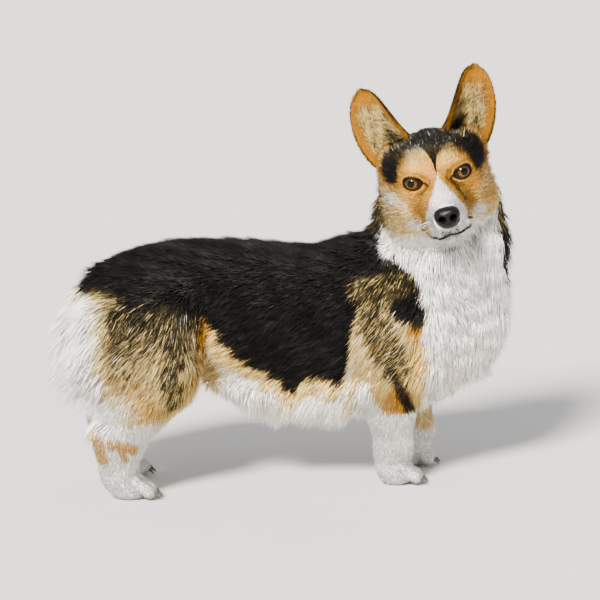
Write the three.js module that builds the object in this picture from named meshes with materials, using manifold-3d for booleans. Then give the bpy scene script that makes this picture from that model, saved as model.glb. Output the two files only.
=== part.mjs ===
// A Pembroke Welsh Corgi standing with its head turned to its right, life size, in millimetres.
// +X is the dog's forward direction, +Y its left and +Z is up. The floor under its feet is z = 0.
import * as THREE from "three";
import { mergeVertices } from "three/addons/utils/BufferGeometryUtils.js";
import Module from "manifold-3d";

const wasm = await Module();
wasm.setup();

// Driving dimensions
const WITHERS = 281; // height of the back over the shoulders, coat included
const GAP = 0.3; // air between two nodes that touch

// Places are written for this height and follow it when it changes.
const SCALE = WITHERS / 281;

// Coat colours
const COLOURS = {
  black: 0x1d1a18,
  tan: 0xc98a4b,
  white: 0xf1ece2,
  nose: 0x1a1817,
  iris: 0x6b3f1a,
  inner_ear: 0xd9b48f,
};

// Vectors are arrays of three numbers.
const add = (a, b) => [a[0] + b[0], a[1] + b[1], a[2] + b[2]];
const sub = (a, b) => [a[0] - b[0], a[1] - b[1], a[2] - b[2]];
const times = (a, s) => [a[0] * s, a[1] * s, a[2] * s];
const dot = (a, b) => a[0] * b[0] + a[1] * b[1] + a[2] * b[2];
const cross = (a, b) => [
  a[1] * b[2] - a[2] * b[1],
  a[2] * b[0] - a[0] * b[2],
  a[0] * b[1] - a[1] * b[0],
];
const unit = (a) => times(a, 1 / Math.hypot(...a));
const mix = (a, b, t) => a + (b - a) * t;
const clamp = (x, low = 0, high = 1) => Math.min(high, Math.max(low, x));
const mirror = (p, side) => [p[0], side * p[1], p[2]];
const rad = THREE.MathUtils.degToRad;

// A smooth curve through [place, value] pairs, flat beyond its ends.
function curve(...pairs) {
  const last = pairs.length - 1;
  const slope = pairs.map((p, i) => {
    const before = pairs[Math.max(0, i - 1)];
    const after = pairs[Math.min(last, i + 1)];
    return (after[1] - before[1]) / (after[0] - before[0]);
  });
  return (x) => {
    if (x <= pairs[0][0]) return pairs[0][1];
    if (x >= pairs[last][0]) return pairs[last][1];
    let i = 0;
    while (pairs[i + 1][0] < x) i++;
    const [x0, v0] = pairs[i];
    const [x1, v1] = pairs[i + 1];
    const h = x1 - x0;
    const t = (x - x0) / h;
    return (
      (1 + 2 * t) * (1 - t) ** 2 * v0 +
      t * (1 - t) ** 2 * h * slope[i] +
      t * t * (3 - 2 * t) * v1 +
      t * t * (t - 1) * h * slope[i + 1]
    );
  };
}

// Fields give the distance of a point to a surface, negative inside it.
// A limb between two balls of different sizes
function bone(a, ra, b, rb) {
  const axis = sub(b, a);
  const length2 = dot(axis, axis);
  return (p) => {
    const d = sub(p, a);
    const t = clamp(dot(d, axis) / length2);
    return Math.hypot(...sub(d, times(axis, t))) - mix(ra, rb, t);
  };
}

// An ellipsoid pitched about Y, in degrees
function lump(centre, radii, pitch = 0) {
  const [c, s] = [Math.cos(rad(pitch)), Math.sin(rad(pitch))];
  const size = mix(Math.min(...radii), Math.max(...radii), 0.35);
  return (p) => {
    const [x, y, z] = sub(p, centre);
    const q = Math.hypot((c * x - s * z) / radii[0], y / radii[1], (s * x + c * z) / radii[2]);
    return (q - 1) * size;
  };
}

// The union of fields, rounded over a width of k where they meet
function blend(k, ...fields) {
  return (p) => {
    let d = fields[0](p);
    for (let i = 1; i < fields.length; i++) {
      const e = fields[i](p);
      const h = Math.max(k - Math.abs(d - e), 0) / k;
      d = Math.min(d, e) - (h * h * k) / 4;
    }
    return d;
  };
}

// A field with another one taken away, rounded over a width of k
function carve(k, field, away) {
  return (p) => {
    const d = field(p);
    const e = -away(p);
    const h = Math.max(k - Math.abs(d - e), 0) / k;
    return Math.max(d, e) + (h * h * k) / 4;
  };
}

// A chain of bones through [place, radius] joints
function chain(k, ...joints) {
  const links = joints.slice(1).map(([b, rb], i) => bone(joints[i][0], joints[i][1], b, rb));
  return blend(k, ...links);
}

// Trunk: back line, underline and half width along X, closed by round ends
const backLine = curve(
  [-250, 241], [-215, 260], [-154, 278], [-69, 279], [12, 270.5], [54, 277], [110, 281], [200, 262],
);
const underLine = curve(
  [-240, 175], [-180, 150], [-122, 130], [-60, 104], [0, 91], [67, 86], [130, 90], [190, 124],
);
const sideLine = curve(
  [-240, 52], [-190, 72], [-120, 78], [-40, 84], [30, 92], [90, 88], [150, 76], [200, 62],
);
const TRUNK_REAR = -200;
const TRUNK_FRONT = 168;
const REAR_END = 46;
const FRONT_END = 66;
const TRUNK_SQUARE = 2.25; // 2 is an ellipse, more is squarer

function trunk([x, y, z]) {
  const top = backLine(x);
  const low = underLine(x);
  const tall = (top - low) / 2;
  const wide = sideLine(x);
  const behind = (TRUNK_REAR - x) / REAR_END;
  const ahead = (x - TRUNK_FRONT) / FRONT_END;
  const shares = [Math.max(0, behind, ahead), Math.abs(y) / wide, Math.abs(z - (top + low) / 2) / tall];
  const q = shares.reduce((sum, share) => sum + share ** TRUNK_SQUARE, 0) ** (1 / TRUNK_SQUARE);
  return (q - 1) * Math.min(wide, tall);
}

// Head frame: the origin is midway between the eyes, x to the nose, y to the left ear, z to the crown.
const EYES_AT = [133, -100, 353];
const HEAD_YAW = 102; // degrees from straight ahead to the dog's right
const HEAD_PITCH = -2;
const HEAD_ROLL = 13.5; // the left ear is the higher one
const headFrame = (() => {
  const yaw = rad(-HEAD_YAW);
  const pitch = rad(HEAD_PITCH);
  const forward = [Math.cos(yaw) * Math.cos(pitch), Math.sin(yaw) * Math.cos(pitch), Math.sin(pitch)];
  const level = unit(cross([0, 0, 1], forward));
  const up = cross(forward, level);
  const [c, s] = [Math.cos(rad(HEAD_ROLL)), Math.sin(rad(HEAD_ROLL))];
  return {
    x: forward,
    y: add(times(level, c), times(up, s)),
    z: sub(times(up, c), times(level, s)),
  };
})();
const toHead = (p) => {
  const d = sub(p, EYES_AT);
  return [dot(d, headFrame.x), dot(d, headFrame.y), dot(d, headFrame.z)];
};
const fromHead = ([x, y, z]) =>
  add(EYES_AT, add(times(headFrame.x, x), add(times(headFrame.y, y), times(headFrame.z, z))));

// Head field in its own frame; both sides are alike, so y is folded.
const cranium = lump([-52, 0, 5], [62, 51, 43]);
const cheek = lump([-40, 34, -24], [40, 28, 32]);
const jowl = lump([-50, 34, -44], [36, 28, 26]);
const throat = lump([-46, 0, -50], [48, 38, 34]);
const earRoot = lump([-62, 44, 16], [22, 20, 26]);
const brow = lump([-16, 20, 14], [16, 15, 9]);
const muzzle = chain(14, [[-24, 0, -21], 36], [[8, 0, -30], 26], [[43, 0, -40], 17.5]);
const lips = chain(6, [[0, 20, -45], 11], [[24, 13, -50], 10], [[42, 7, -53], 9.5]);
const chin = chain(8, [[-26, 0, -50], 24], [[12, 8, -56], 13], [[38, 5, -59], 9]);
const orbit = lump([8, 27, -1], [10, 15, 10]);
const skullCore = blend(18, cranium, cheek, jowl, throat, earRoot);
const headWhole = blend(14, skullCore, brow, blend(7, muzzle, lips, chin));
const headShape = carve(6, headWhole, orbit);
const headField = (p) => {
  const [x, y, z] = toHead(p);
  return headShape([x, Math.abs(y), z]);
};

// Neck and forechest, coat core only: the ruff is built on it.
const NECK_BASE = [140, 0, 206];
const NECK_MIDDLE = [158, -8, 262];
const NECK_TOP = [148, -30, 322];
const neck = chain(24, [NECK_BASE, 76], [NECK_MIDDLE, 71], [NECK_TOP, 60]);
const forechest = lump([172, 0, 178], [56, 56, 66], 10);

// Legs: [place, radius] joints from the body to the foot, for the side named
const shoulder = (side, x) => lump([x, side * 52, 190], [50, 38, 74], -14);
const foreleg = ({ side, elbow, wrist, out }) =>
  chain(
    12,
    [[elbow + 18, side * 56, 168], 40],
    [[elbow, side * 64, 124], 33],
    [[mix(elbow, wrist, 0.5), side * mix(62, out, 0.5), 84], 26],
    [[wrist, side * out, 44], 21],
    [[wrist - 2, side * out, 24], 18.5],
  );
const thigh = (side) => lump([-192, side * 54, 164], [62, 38, 78], -6);
const hindleg = ({ side, knee, hock, out }) =>
  chain(
    12,
    [[-183, side * 52, 196], 48],
    [[knee, side * (out + 6), 138], 37],
    [[mix(knee, hock, 0.6), side * (out + 2), 100], 31],
    [[hock, side * out, 68], 28],
    [[hock - 1, side * out, 28], 21],
  );
const FORE_RIGHT = { side: -1, elbow: 88, wrist: 97, out: 50, paw: 97 };
const FORE_LEFT = { side: 1, elbow: 134, wrist: 147, out: 44, paw: 136 };
const HIND_RIGHT = { side: -1, knee: -167, hock: -217, out: 62, paw: -209 };
const HIND_LEFT = { side: 1, knee: -157, hock: -206, out: 60, paw: -197 };

// A paw: the foot behind and four toes in an arc before it
const TOES = [-1.5, -0.5, 0.5, 1.5];
const TOE_APART = 10.6;
function paw(x, y) {
  const toes = TOES.map((i) => lump([x + 23 - 4 * Math.abs(i), y + i * TOE_APART, 11], [14, 6.9, 12.5]));
  return blend(3.5, lump([x - 3, y, 15], [27, 21, 20]), ...toes);
}
const forePaws = [FORE_RIGHT, FORE_LEFT].map((l) => paw(l.paw, l.side * l.out));
const hindPaws = [HIND_RIGHT, HIND_LEFT].map((l) => paw(l.paw, l.side * l.out));

const tail = bone([-222, 0, 240], 17, [-234, 0, 235], 13);

const bodyCore = blend(
  30,
  trunk,
  forechest,
  shoulder(-1, 104),
  shoulder(1, 116),
  thigh(-1),
  thigh(1),
);
const legs = [
  foreleg(FORE_RIGHT),
  foreleg(FORE_LEFT),
  hindleg(HIND_RIGHT),
  hindleg(HIND_LEFT),
];
const trunkAndNeck = blend(20, bodyCore, neck);
const bodyField = blend(14, blend(8, blend(22, trunkAndNeck, ...legs), ...forePaws, ...hindPaws), tail);
const dogField = blend(18, bodyField, headField);

// The eight corners of a cell, and its twelve edges as pairs of corners
const CORNERS = [...Array(8).keys()].map((c) => [c & 1, (c >> 1) & 1, c >> 2]);
const EDGES = CORNERS.flatMap((_, a) => [1, 2, 4].filter((bit) => !(a & bit)).map((bit) => [a, a | bit]));

// For each pattern of inside corners that touch only across a diagonal, one outside corner to fill
const FILL = [...Array(256).keys()].map((mask) => {
  for (const [u, v] of [[1, 2], [2, 4], [4, 1]])
    for (const base of [0, 7 ^ u ^ v]) {
      const inside = [base, base ^ u, base ^ u ^ v, base ^ v].map((c) => (mask >> c) & 1);
      if (inside[0] === inside[2] && inside[1] === inside[3] && inside[0] !== inside[1])
        return inside[0] ? base ^ u : base;
    }
  for (let c = 0; c < 4; c++) {
    const pair = (1 << c) | (1 << (7 - c));
    if (mask === pair) return c ^ 1;
    if (mask === 255 - pair) return c;
  }
  return -1;
});

// Where a field is zero, as closed triangles: one point in each cell that the surface crosses,
// moved onto the surface.
function surfaceOf(field, low, high, cell) {
  const n = [0, 1, 2].map((i) => Math.ceil((high[i] - low[i]) / cell) + 1);
  const step = CORNERS.map(([i, j, k]) => (k * n[1] + j) * n[0] + i);
  const cells = [];
  const value = new Float64Array(n[0] * n[1] * n[2]);
  const place = (i, j, k) => [low[0] + i * cell, low[1] + j * cell, low[2] + k * cell];
  for (let k = 0, at = 0; k < n[2]; k++)
    for (let j = 0; j < n[1]; j++)
      for (let i = 0; i < n[0]; i++, at++) {
        const index = [i, j, k];
        const rim = index.some((v, axis) => v === 0 || v === n[axis] - 1);
        value[at] = Math.max(field(place(...index)), rim ? cell / 2 : -Infinity);
        if (index.every((v, axis) => v < n[axis] - 1)) cells.push([at, ...index]);
      }
  const maskAt = (at) => step.reduce((mask, s, c) => (value[at + s] < 0 ? mask | (1 << c) : mask), 0);
  for (let filled = true; filled; ) {
    filled = false;
    for (const [at] of cells) {
      const corner = FILL[maskAt(at)];
      if (corner < 0) continue;
      value[at + step[corner]] = -0.02 * cell;
      filled = true;
    }
  }

  const pointAt = new Int32Array(value.length).fill(-1);
  const points = [];
  const crossed = cells.filter(([at]) => maskAt(at) % 255);
  for (const [at, i, j, k] of crossed) {
    const hits = [];
    for (const [a, b] of EDGES) {
      const [va, vb] = [value[at + step[a]], value[at + step[b]]];
      if (va < 0 === vb < 0) continue;
      hits.push(add(CORNERS[a], times(sub(CORNERS[b], CORNERS[a]), va / (va - vb))));
    }
    pointAt[at] = points.length;
    points.push(settle(field, add(place(i, j, k), times(hits.reduce(add), cell / hits.length)), cell));
  }

  const faces = [];
  const span = (a, b) => Math.hypot(...sub(points[a], points[b]));
  const quad = (a, b, c, d) => {
    if (span(a, c) < span(b, d)) faces.push(a, b, c, a, c, d);
    else faces.push(a, b, d, b, c, d);
  };
  for (const [at] of crossed)
    for (const [u, v, w] of [[1, 2, 4], [2, 4, 1], [4, 1, 2]]) {
      if (value[at] < 0 === value[at + step[u]] < 0) continue;
      const round = [at - step[v] - step[w], at - step[w], at, at - step[v]].map((c) => pointAt[c]);
      quad(...(value[at] < 0 ? round : round.reverse()));
    }
  return solid(new Float32Array(points.flat()), new Uint32Array(faces));
}

// Moves a point along the field's slope towards the surface, by at most a part of a cell.
function settle(field, p, cell) {
  const h = 0.2;
  for (let turn = 0; turn < 2; turn++) {
    const d = field(p);
    const slope = [0, 1, 2].map((i) => {
      const q = [...p];
      q[i] += h;
      return (field(q) - d) / h;
    });
    const steep = dot(slope, slope);
    if (steep < 1e-6) return p;
    const move = clamp(d / steep, -0.35 * cell, 0.35 * cell);
    p = sub(p, times(slope, move));
  }
  return p;
}

function solid(vertProperties, triVerts) {
  return new wasm.Manifold(new wasm.Mesh({ numProp: 3, vertProperties, triVerts }));
}

// A closed three.js geometry as a solid
function solidOf(geometry) {
  const bare = geometry.clone();
  bare.deleteAttribute("normal");
  bare.deleteAttribute("uv");
  const merged = mergeVertices(bare, 1e-4);
  const corners = [];
  for (let i = 0; i < merged.index.count; i += 3) {
    const [a, b, c] = merged.index.array.slice(i, i + 3);
    if (a !== b && b !== c && c !== a) corners.push(a, b, c);
  }
  return solid(new Float32Array(merged.attributes.position.array), new Uint32Array(corners));
}

function geometryOf(made) {
  const mesh = made.getMesh();
  const positions = new Float32Array(mesh.numVert * 3);
  for (let i = 0; i < mesh.numVert; i++) {
    const from = i * mesh.numProp;
    positions.set(mesh.vertProperties.subarray(from, from + 3), i * 3);
  }
  const geometry = new THREE.BufferGeometry();
  geometry.setAttribute("position", new THREE.BufferAttribute(positions, 3));
  geometry.setIndex(new THREE.BufferAttribute(mesh.triVerts, 1));
  geometry.computeVertexNormals();
  return geometry;
}

// A node keeps only its largest closed surface.
function largest(made) {
  const bodies = made.decompose();
  return bodies.reduce((a, b) => (b.volume() > a.volume() ? b : a));
}

// A block that starts at a plane and reaches away from it
function beyond(point, normal, reach = 700) {
  const block = new THREE.BoxGeometry(reach, reach, reach).translate(0, 0, reach / 2);
  const turn = new THREE.Quaternion().setFromUnitVectors(
    new THREE.Vector3(0, 0, 1),
    new THREE.Vector3(...unit(normal)),
  );
  return solidOf(block.applyQuaternion(turn).translate(...point));
}

// Splits a solid at a plane into [this side, far side] with the gap between them.
function split(made, { at, normal, reach }) {
  const shift = times(unit(normal), GAP / 2);
  return [
    made.subtract(beyond(sub(at, shift), normal, reach)),
    made.intersect(beyond(add(at, shift), normal, reach)),
  ];
}

// A region seen from the side, drawn by its outline points in X and Z and reaching outwards from y = inner
function sideRegion(outline, side, inner, grow = 0) {
  const drawn = new THREE.SplineCurve(outline.map(([x, z]) => new THREE.Vector2(x, z)));
  const shape = new THREE.Shape(drawn.getPoints(14));
  const reach = 160;
  const block = new THREE.ExtrudeGeometry(shape, {
    depth: reach,
    bevelEnabled: grow > 0,
    bevelSize: grow,
    bevelThickness: grow,
    bevelSegments: 1,
    steps: 1,
  });
  block.applyMatrix4(new THREE.Matrix4().makeBasis(
    new THREE.Vector3(1, 0, 0),
    new THREE.Vector3(0, 0, 1),
    new THREE.Vector3(0, -1, 0),
  ));
  if (side < 0) block.translate(0, -inner, 0);
  else block.translate(0, inner + reach, 0);
  return solidOf(block);
}

// Long coat: flat tapered locks that follow the coat's lie over the skin, rooted under it
let seed = 20;
function random() {
  seed = (seed * 1664525 + 1013904223) % 4294967296;
  return seed / 4294967296;
}
const jitter = (size) => (random() - 0.5) * 2 * size;

function slopeOf(field, p) {
  const d = field(p);
  return unit([0, 1, 2].map((i) => field(p.map((v, j) => (i === j ? v + 0.5 : v))) - d));
}

// The last point outside the skin on the way from one point to another
function onSkin(field, from, to) {
  let [far, near] = [0, 1];
  const at = (t) => add(from, times(sub(to, from), t));
  for (let t = 0; t <= 1; t += 0.02)
    if (field(at(t)) < 0) {
      near = t;
      far = t - 0.02;
      break;
    }
  for (let i = 0; i < 12; i++) {
    const middle = (near + far) / 2;
    if (field(at(middle)) < 0) near = middle;
    else far = middle;
  }
  return at(near);
}

// [share of the length, share of the width] of the rings of a lock
const LOCK_RINGS = [[0, 0.75], [0.36, 1], [0.76, 0.62]];

function lock(field, root, lieAt, { length, width, lift, hang = false }) {
  const thick = width * 0.3;
  const sink = thick * 0.9;
  const bend = jitter(0.16) * length;
  const positions = [];
  let p = hang ? add(root, [0, 0, sink + 6]) : root;
  let before = 0;
  let end;
  for (const [t, share] of [...LOCK_RINGS, [1, 0]]) {
    const normal = slopeOf(field, root);
    const normalHere = hang ? normal : slopeOf(field, p);
    let lie = unit(lieAt(p));
    if (!hang) lie = unit(sub(lie, times(normalHere, dot(lie, normalHere))));
    p = add(p, times(lie, length * (t - before)));
    if (!hang) p = sub(p, times(normalHere, field(p)));
    before = t;
    const side = unit(cross(normalHere, lie));
    const flat = unit(cross(lie, side));
    const rise = hang ? lift * t * t : mix(-sink, lift, 1 - (1 - t) ** 1.7);
    const c = add(add(p, times(normalHere, rise)), times(side, bend * t * t));
    if (share === 0) {
      end = c;
      continue;
    }
    const across = times(side, (width / 2) * share);
    const deep = times(flat, (thick / 2) * share);
    positions.push(add(c, across), add(c, deep), sub(c, across), sub(c, deep));
  }
  positions.push(end);
  const faces = [[0, 1, 2], [0, 2, 3]];
  const rings = LOCK_RINGS.length;
  for (let i = 0; i < rings; i++)
    for (let j = 0; j < 4; j++) {
      const [a, b] = [4 * i + j, 4 * i + ((j + 1) % 4)];
      if (i < rings - 1) faces.push([a, b + 4, b], [a, a + 4, b + 4]);
      else faces.push([a, 4 * rings, b]);
    }
  return outwards(positions, faces);
}

// A closed surface as a solid, its faces turned outwards
function outwards(points, faces) {
  const volume = faces.reduce((sum, [a, b, c]) => sum + dot(points[a], cross(points[b], points[c])), 0);
  const order = volume > 0 ? faces : faces.map(([a, b, c]) => [a, c, b]);
  return solid(new Float32Array(points.flat()), new Uint32Array(order.flat()));
}

// Rows of the ruff and bib: height, first and last angle from straight ahead to the left, locks
const RUFF_ROWS = [
  [296, 0, 190, 8],
  [268, -108, 116, 10],
  [238, -116, 118, 10],
  [206, -108, 104, 9],
  [174, -74, 74, 7],
  [142, -56, 56, 5],
];
function ruffLocks() {
  const made = [];
  RUFF_ROWS.forEach(([z, first, last, count], row) => {
    for (let i = 0; i < count; i++) {
      const angle = rad(mix(first, last, (i + 0.5 * (row % 2)) / (count - 0.5)) + jitter(3));
      const middle = [z > 220 ? 153 : 142, z > 250 ? -10 : 0, z + jitter(5)];
      const out = [Math.cos(angle), Math.sin(angle), 0];
      const root = onSkin(bodyField, add(middle, times(out, 170)), middle);
      const back = clamp(-Math.cos(angle) + 0.2) * 0.8;
      const size = { length: 50 + jitter(6), width: 27 + jitter(3), lift: 11 + jitter(3) };
      made.push(lock(bodyField, root, () => [-0.1 - back, 0.12 * Math.sin(angle), -1], size));
    }
  });
  return made;
}

// Breeches: rows down the back of each thigh
function breechLocks(side) {
  const made = [];
  [[204, 3], [178, 4], [152, 4], [128, 4]].forEach(([z, count], row) => {
    for (let i = 0; i < count; i++) {
      const angle = rad(180 - side * mix(-30, 62, (i + 0.5 * (row % 2)) / (count - 0.5)));
      const middle = [-188, side * 46, z + jitter(4)];
      const out = [Math.cos(angle), Math.sin(angle), 0];
      const root = onSkin(bodyField, add(middle, times(out, 150)), middle);
      const size = { length: 46 + jitter(5), width: 25 + jitter(3), lift: 19 + jitter(3) };
      made.push(lock(bodyField, root, () => [-0.3, 0, -1], size));
    }
  });
  return made;
}

// Belly fringe: one row hanging along each edge of the underside
function fringeLocks(side) {
  const made = [];
  for (let x = -112; x < 66; x += 21) {
    const middle = [x + jitter(4), side * 10, 160];
    const under = [0, side * 38, -110];
    const root = onSkin(bodyField, add(middle, times(under, 1.2)), middle);
    const size = { length: 46 + jitter(6), width: 26 + jitter(3), lift: 4, hang: true };
    made.push(lock(bodyField, root, () => [-0.35, side * 0.08, -1], size));
  }
  return made;
}

// Cheeks: locks at the back of each jaw, fanning down and outwards
function cheekLocks(side) {
  const made = [];
  for (let i = 0; i < 4; i++) {
    const from = fromHead([-50 + 5 * i, side * 130, -4 - 16 * i]);
    const root = onSkin(dogField, from, fromHead([-44 + 4 * i, 0, -4 - 16 * i]));
    const lie = sub(fromHead([-0.55, side * 0.3, -0.8]), fromHead([0, 0, 0]));
    const size = { length: 30 + jitter(3), width: 19 + jitter(2), lift: 7 + jitter(1) };
    made.push(lock(dogField, root, () => lie, size));
  }
  return made;
}

// The outer side of the cup of an ear and its hollow front, as one thin closed shell. Rings of
// points go round the ear at each height: the front from the inner to the outer edge, then the back.
const EAR = {
  foot: [-60, 40, 22],
  tip: (side) => [-66, 66 + 4 * side, 104 - side], // the right ear leans in a little more
  across: 9, // points from edge to edge
  up: 10, // rings from foot to tip
  width: curve([0, 27], [0.25, 26.5], [0.5, 23.5], [0.75, 17.5], [0.92, 9.5], [1, 3.2]),
  wrap: curve([0, 108], [0.3, 78], [0.6, 60], [1, 40]), // degrees of arc to each side
  turn: curve([0, 34], [0.5, 20], [1, 10]), // degrees that the opening faces outwards
  thick: curve([0, 5], [0.4, 3.4], [1, 2]),
  bulge: 5, // the outer edge bows out by this much
};

function earShell(side, grow = 0) {
  const axis = sub(EAR.tip(side), EAR.foot);
  const positions = [];
  for (let i = 0; i <= EAR.up; i++) {
    const t = i / EAR.up;
    const width = EAR.width(t);
    const arc = rad(EAR.wrap(t));
    const radius = width / Math.sin(Math.min(arc, Math.PI / 2));
    const turn = rad(EAR.turn(t));
    const face = [Math.cos(turn), Math.sin(turn), 0];
    const wide = unit(cross(unit(axis), face));
    const out = wide[1] > 0 ? wide : times(wide, -1);
    const middle = add(add(EAR.foot, times(axis, t)), times(out, EAR.bulge * Math.sin(Math.PI * t)));
    const ring = (thick) =>
      [...Array(EAR.across).keys()].map((j) => {
        const angle = (arc + grow / radius) * (-1 + (2 * j) / (EAR.across - 1));
        const r = radius + thick;
        const sideways = times(out, r * Math.sin(angle));
        const deep = times(face, -r * Math.cos(angle) + radius * Math.cos(arc));
        return add(middle, add(sideways, deep));
      });
    const front = ring(-grow);
    const back = ring(EAR.thick(t) + grow).reverse();
    positions.push(...front, ...back);
  }
  const n = 2 * EAR.across;
  const faces = [];
  for (let i = 0; i < EAR.up; i++)
    for (let j = 0; j < n; j++) {
      const [a, b] = [i * n + j, i * n + ((j + 1) % n)];
      faces.push([a, b, b + n], [a, b + n, a + n]);
    }
  for (let j = 0; j < EAR.across - 1; j++) {
    const [a, b, c, d] = [j, j + 1, n - 2 - j, n - 1 - j];
    const top = EAR.up * n;
    faces.push([a, d, c], [a, c, b], [a + top, b + top, c + top], [a + top, c + top, d + top]);
  }
  return headSolid(positions, faces, side);
}

// The room that the ear above its cut takes from the head, with the gap round it
function bladeRoom(side, { at, normal, reach }) {
  const low = sub(at, times(unit(normal), GAP / 2));
  return earShell(side, GAP).intersect(beyond(low, normal, reach));
}

// Points in the head frame, on the side given, as a solid facing outwards
function headSolid(positions, faces, side = 1) {
  return outwards(positions.map((p) => fromHead(mirror(p, side))), faces);
}

// Moves a three.js geometry drawn in the head frame to its place.
const HEAD_MATRIX = new THREE.Matrix4()
  .makeBasis(...[headFrame.x, headFrame.y, headFrame.z].map((v) => new THREE.Vector3(...v)))
  .setPosition(...EYES_AT);
const inHead = (geometry) => solidOf(geometry.applyMatrix4(HEAD_MATRIX));

// Eyes
const EYE_APART = 53; // between the centres of the eyes
const EYE_RADIUS = 11;
const EYE_DEEP = 8; // from the plane of the corneas back to the centre of the ball
const EYE_TURN = 20; // degrees outwards
const LID = 1.7; // radius of the rim of the lids
const eyeCentre = (side) => [-EYE_DEEP, (side * EYE_APART) / 2, 0];

function eyeBall(side, radius) {
  const ball = new THREE.SphereGeometry(radius, 12, 8);
  ball.rotateZ(Math.PI / 2).translate(...eyeCentre(side));
  return inHead(ball);
}

// The almond between the lids: a point at each angle, across and up, widened by some amount
function almond(angle, wider) {
  const up = Math.sin(angle);
  const across = (8.3 + wider) * Math.cos(angle);
  const high = up > 0 ? (5.6 + wider) * up ** 0.85 : -(4.6 + wider) * Math.abs(up) ** 0.9;
  return [across, high + 0.16 * across];
}

// The rim of both lids: a closed tube over the almond, lying on the ball
function lidRim(side) {
  const turn = rad(EYE_TURN);
  const count = 15;
  const points = [...Array(count).keys()].map((i) => {
    const [across, high] = almond((i / count) * 2 * Math.PI, LID);
    const deep = Math.sqrt((EYE_RADIUS + 0.8) ** 2 - across * across - high * high);
    const x = deep * Math.cos(turn) - across * Math.sin(turn);
    const y = deep * Math.sin(turn) + across * Math.cos(turn);
    return new THREE.Vector3(x - EYE_DEEP, side * (y + EYE_APART / 2), high);
  });
  return inHead(new THREE.TubeGeometry(new THREE.CatmullRomCurve3(points, true), count, LID, 4, true));
}

// The opening between the lids, cut outwards from the middle of the ball
function lidOpening(side) {
  const shape = new THREE.Shape();
  const count = 12;
  for (let i = 0; i < count; i++) {
    const [across, high] = almond((i / count) * 2 * Math.PI, 0);
    if (i) shape.lineTo(side * across, high);
    else shape.moveTo(side * across, high);
  }
  const block = new THREE.ExtrudeGeometry(shape, { depth: 30, bevelEnabled: false });
  block.applyMatrix4(new THREE.Matrix4().makeBasis(
    new THREE.Vector3(0, 1, 0),
    new THREE.Vector3(0, 0, 1),
    new THREE.Vector3(1, 0, 0),
  ));
  return inHead(block.rotateZ(side * rad(EYE_TURN)).translate(...eyeCentre(side)));
}

// Nose pad: a rounded block with two nostrils and a groove between them
const NOSE_AT = [55, 0, -35.5];
const NOSE_RADII = [10.5, 14.5, 12.5];
function nosePad(grow) {
  const pad = new THREE.SphereGeometry(1, 14, 9);
  const at = pad.attributes.position;
  for (let i = 0; i < at.count; i++) {
    const [x, y, z] = [at.getX(i), at.getY(i), at.getZ(i)];
    const narrow = 1 - 0.22 * clamp(-z);
    at.setXYZ(
      i,
      x * (NOSE_RADII[0] + grow),
      Math.sign(y) * Math.abs(y) ** 0.85 * (NOSE_RADII[1] + grow) * narrow,
      z * (NOSE_RADII[2] + grow),
    );
  }
  return inHead(pad.translate(...NOSE_AT));
}
function nostril(side) {
  const hole = new THREE.CapsuleGeometry(2.6, 4.5, 2, 6).rotateX(Math.PI / 2 + side * 0.35);
  const slit = new THREE.CapsuleGeometry(1.1, 6, 1, 4).rotateX(Math.PI / 2 + side * 0.5);
  const at = (made, x, y, z) => inHead(made.translate(...add(NOSE_AT, [x, side * y, z])));
  return at(hole, 8.5, 5.4, 0.6).add(at(slit, 7.5, 11, -2.6));
}

// Mouth: the closed lips meet along this line, and the jaw under it is set in a little.
const MUZZLE_AT = 8; // the muzzle and the jaw start here
const mouthLine = curve([8, -52], [20, -56], [32, -60], [44, -62], [60, -62]);
const JAW_NARROW = 0.93;
const JAW_BACK = 1.5;
const jawField = (p) => {
  const [x, y, z] = toHead(p);
  return headShape([x + JAW_BACK, Math.abs(y) / JAW_NARROW, z]);
};
function underMouth(shrink) {
  const shape = new THREE.Shape();
  shape.moveTo(80, -110);
  for (let x = 72; x > MUZZLE_AT - 16; x -= 6) shape.lineTo(x, mouthLine(x) - shrink);
  shape.lineTo(MUZZLE_AT - 16, -110);
  const block = new THREE.ExtrudeGeometry(shape, { depth: 120, bevelEnabled: false });
  return inHead(block.rotateX(Math.PI / 2).translate(0, 60, 0));
}

const BODY_CELL = 24;
const LEG_CELL = 15;
const PAW_CELL = 10;
const HEAD_CELL = 9.3;
const MUZZLE_CELL = 6.2;
const floorCut = beyond([0, 0, 0], [0, 0, -1]);

// Cutting planes, each as wide as its reach
const NECK_CUT = { at: [128, 0, 246], normal: [0.5, -0.04, 0.87], reach: 420 };
const HEAD_CUT = {
  at: fromHead([-66, 0, -18]),
  normal: add(times(headFrame.x, 0.82), times(headFrame.z, 0.57)),
  reach: 262,
};
const THROAT = -80; // height of the flat under the jaw, in the head frame
const MUZZLE_CUT = { at: fromHead([MUZZLE_AT, 0, -30]), normal: headFrame.x, reach: 150 };
const LEG_TOP = 84; // height of the cuts across the legs
const PAW_CUT = { at: [0, 0, 34], normal: [0, 0, -1], reach: 700 };
const TAIL_CUT = { at: [-238, 0, 236], normal: [-0.75, 0, 0.66], reach: 60 };

// Outlines in X and Z of the upper arm and of the thigh
const foreOutline = (x) => [
  [x - 54, 50],
  [x - 58, 120],
  [x - 44, 164],
  [x - 4, 178],
  [x + 30, 160],
  [x + 46, 118],
  [x + 58, 50],
  [x - 54, 50],
];
const hindOutline = [
  [-290, 40],
  [-310, 130],
  [-282, 206],
  [-226, 230],
  [-168, 220],
  [-128, 176],
  [-106, 120],
  [-120, 40],
  [-290, 40],
];

// A claw before each toe, curving down but clear of the floor
const claws = ({ side, out, paw }) =>
  TOES.map((i) => {
    const claw = new THREE.ConeGeometry(2.6, 13, 5).rotateZ(-2.05);
    return solidOf(claw.translate(paw + 37.5 - 4 * Math.abs(i), side * out + i * TOE_APART, 6.2));
  });

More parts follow.
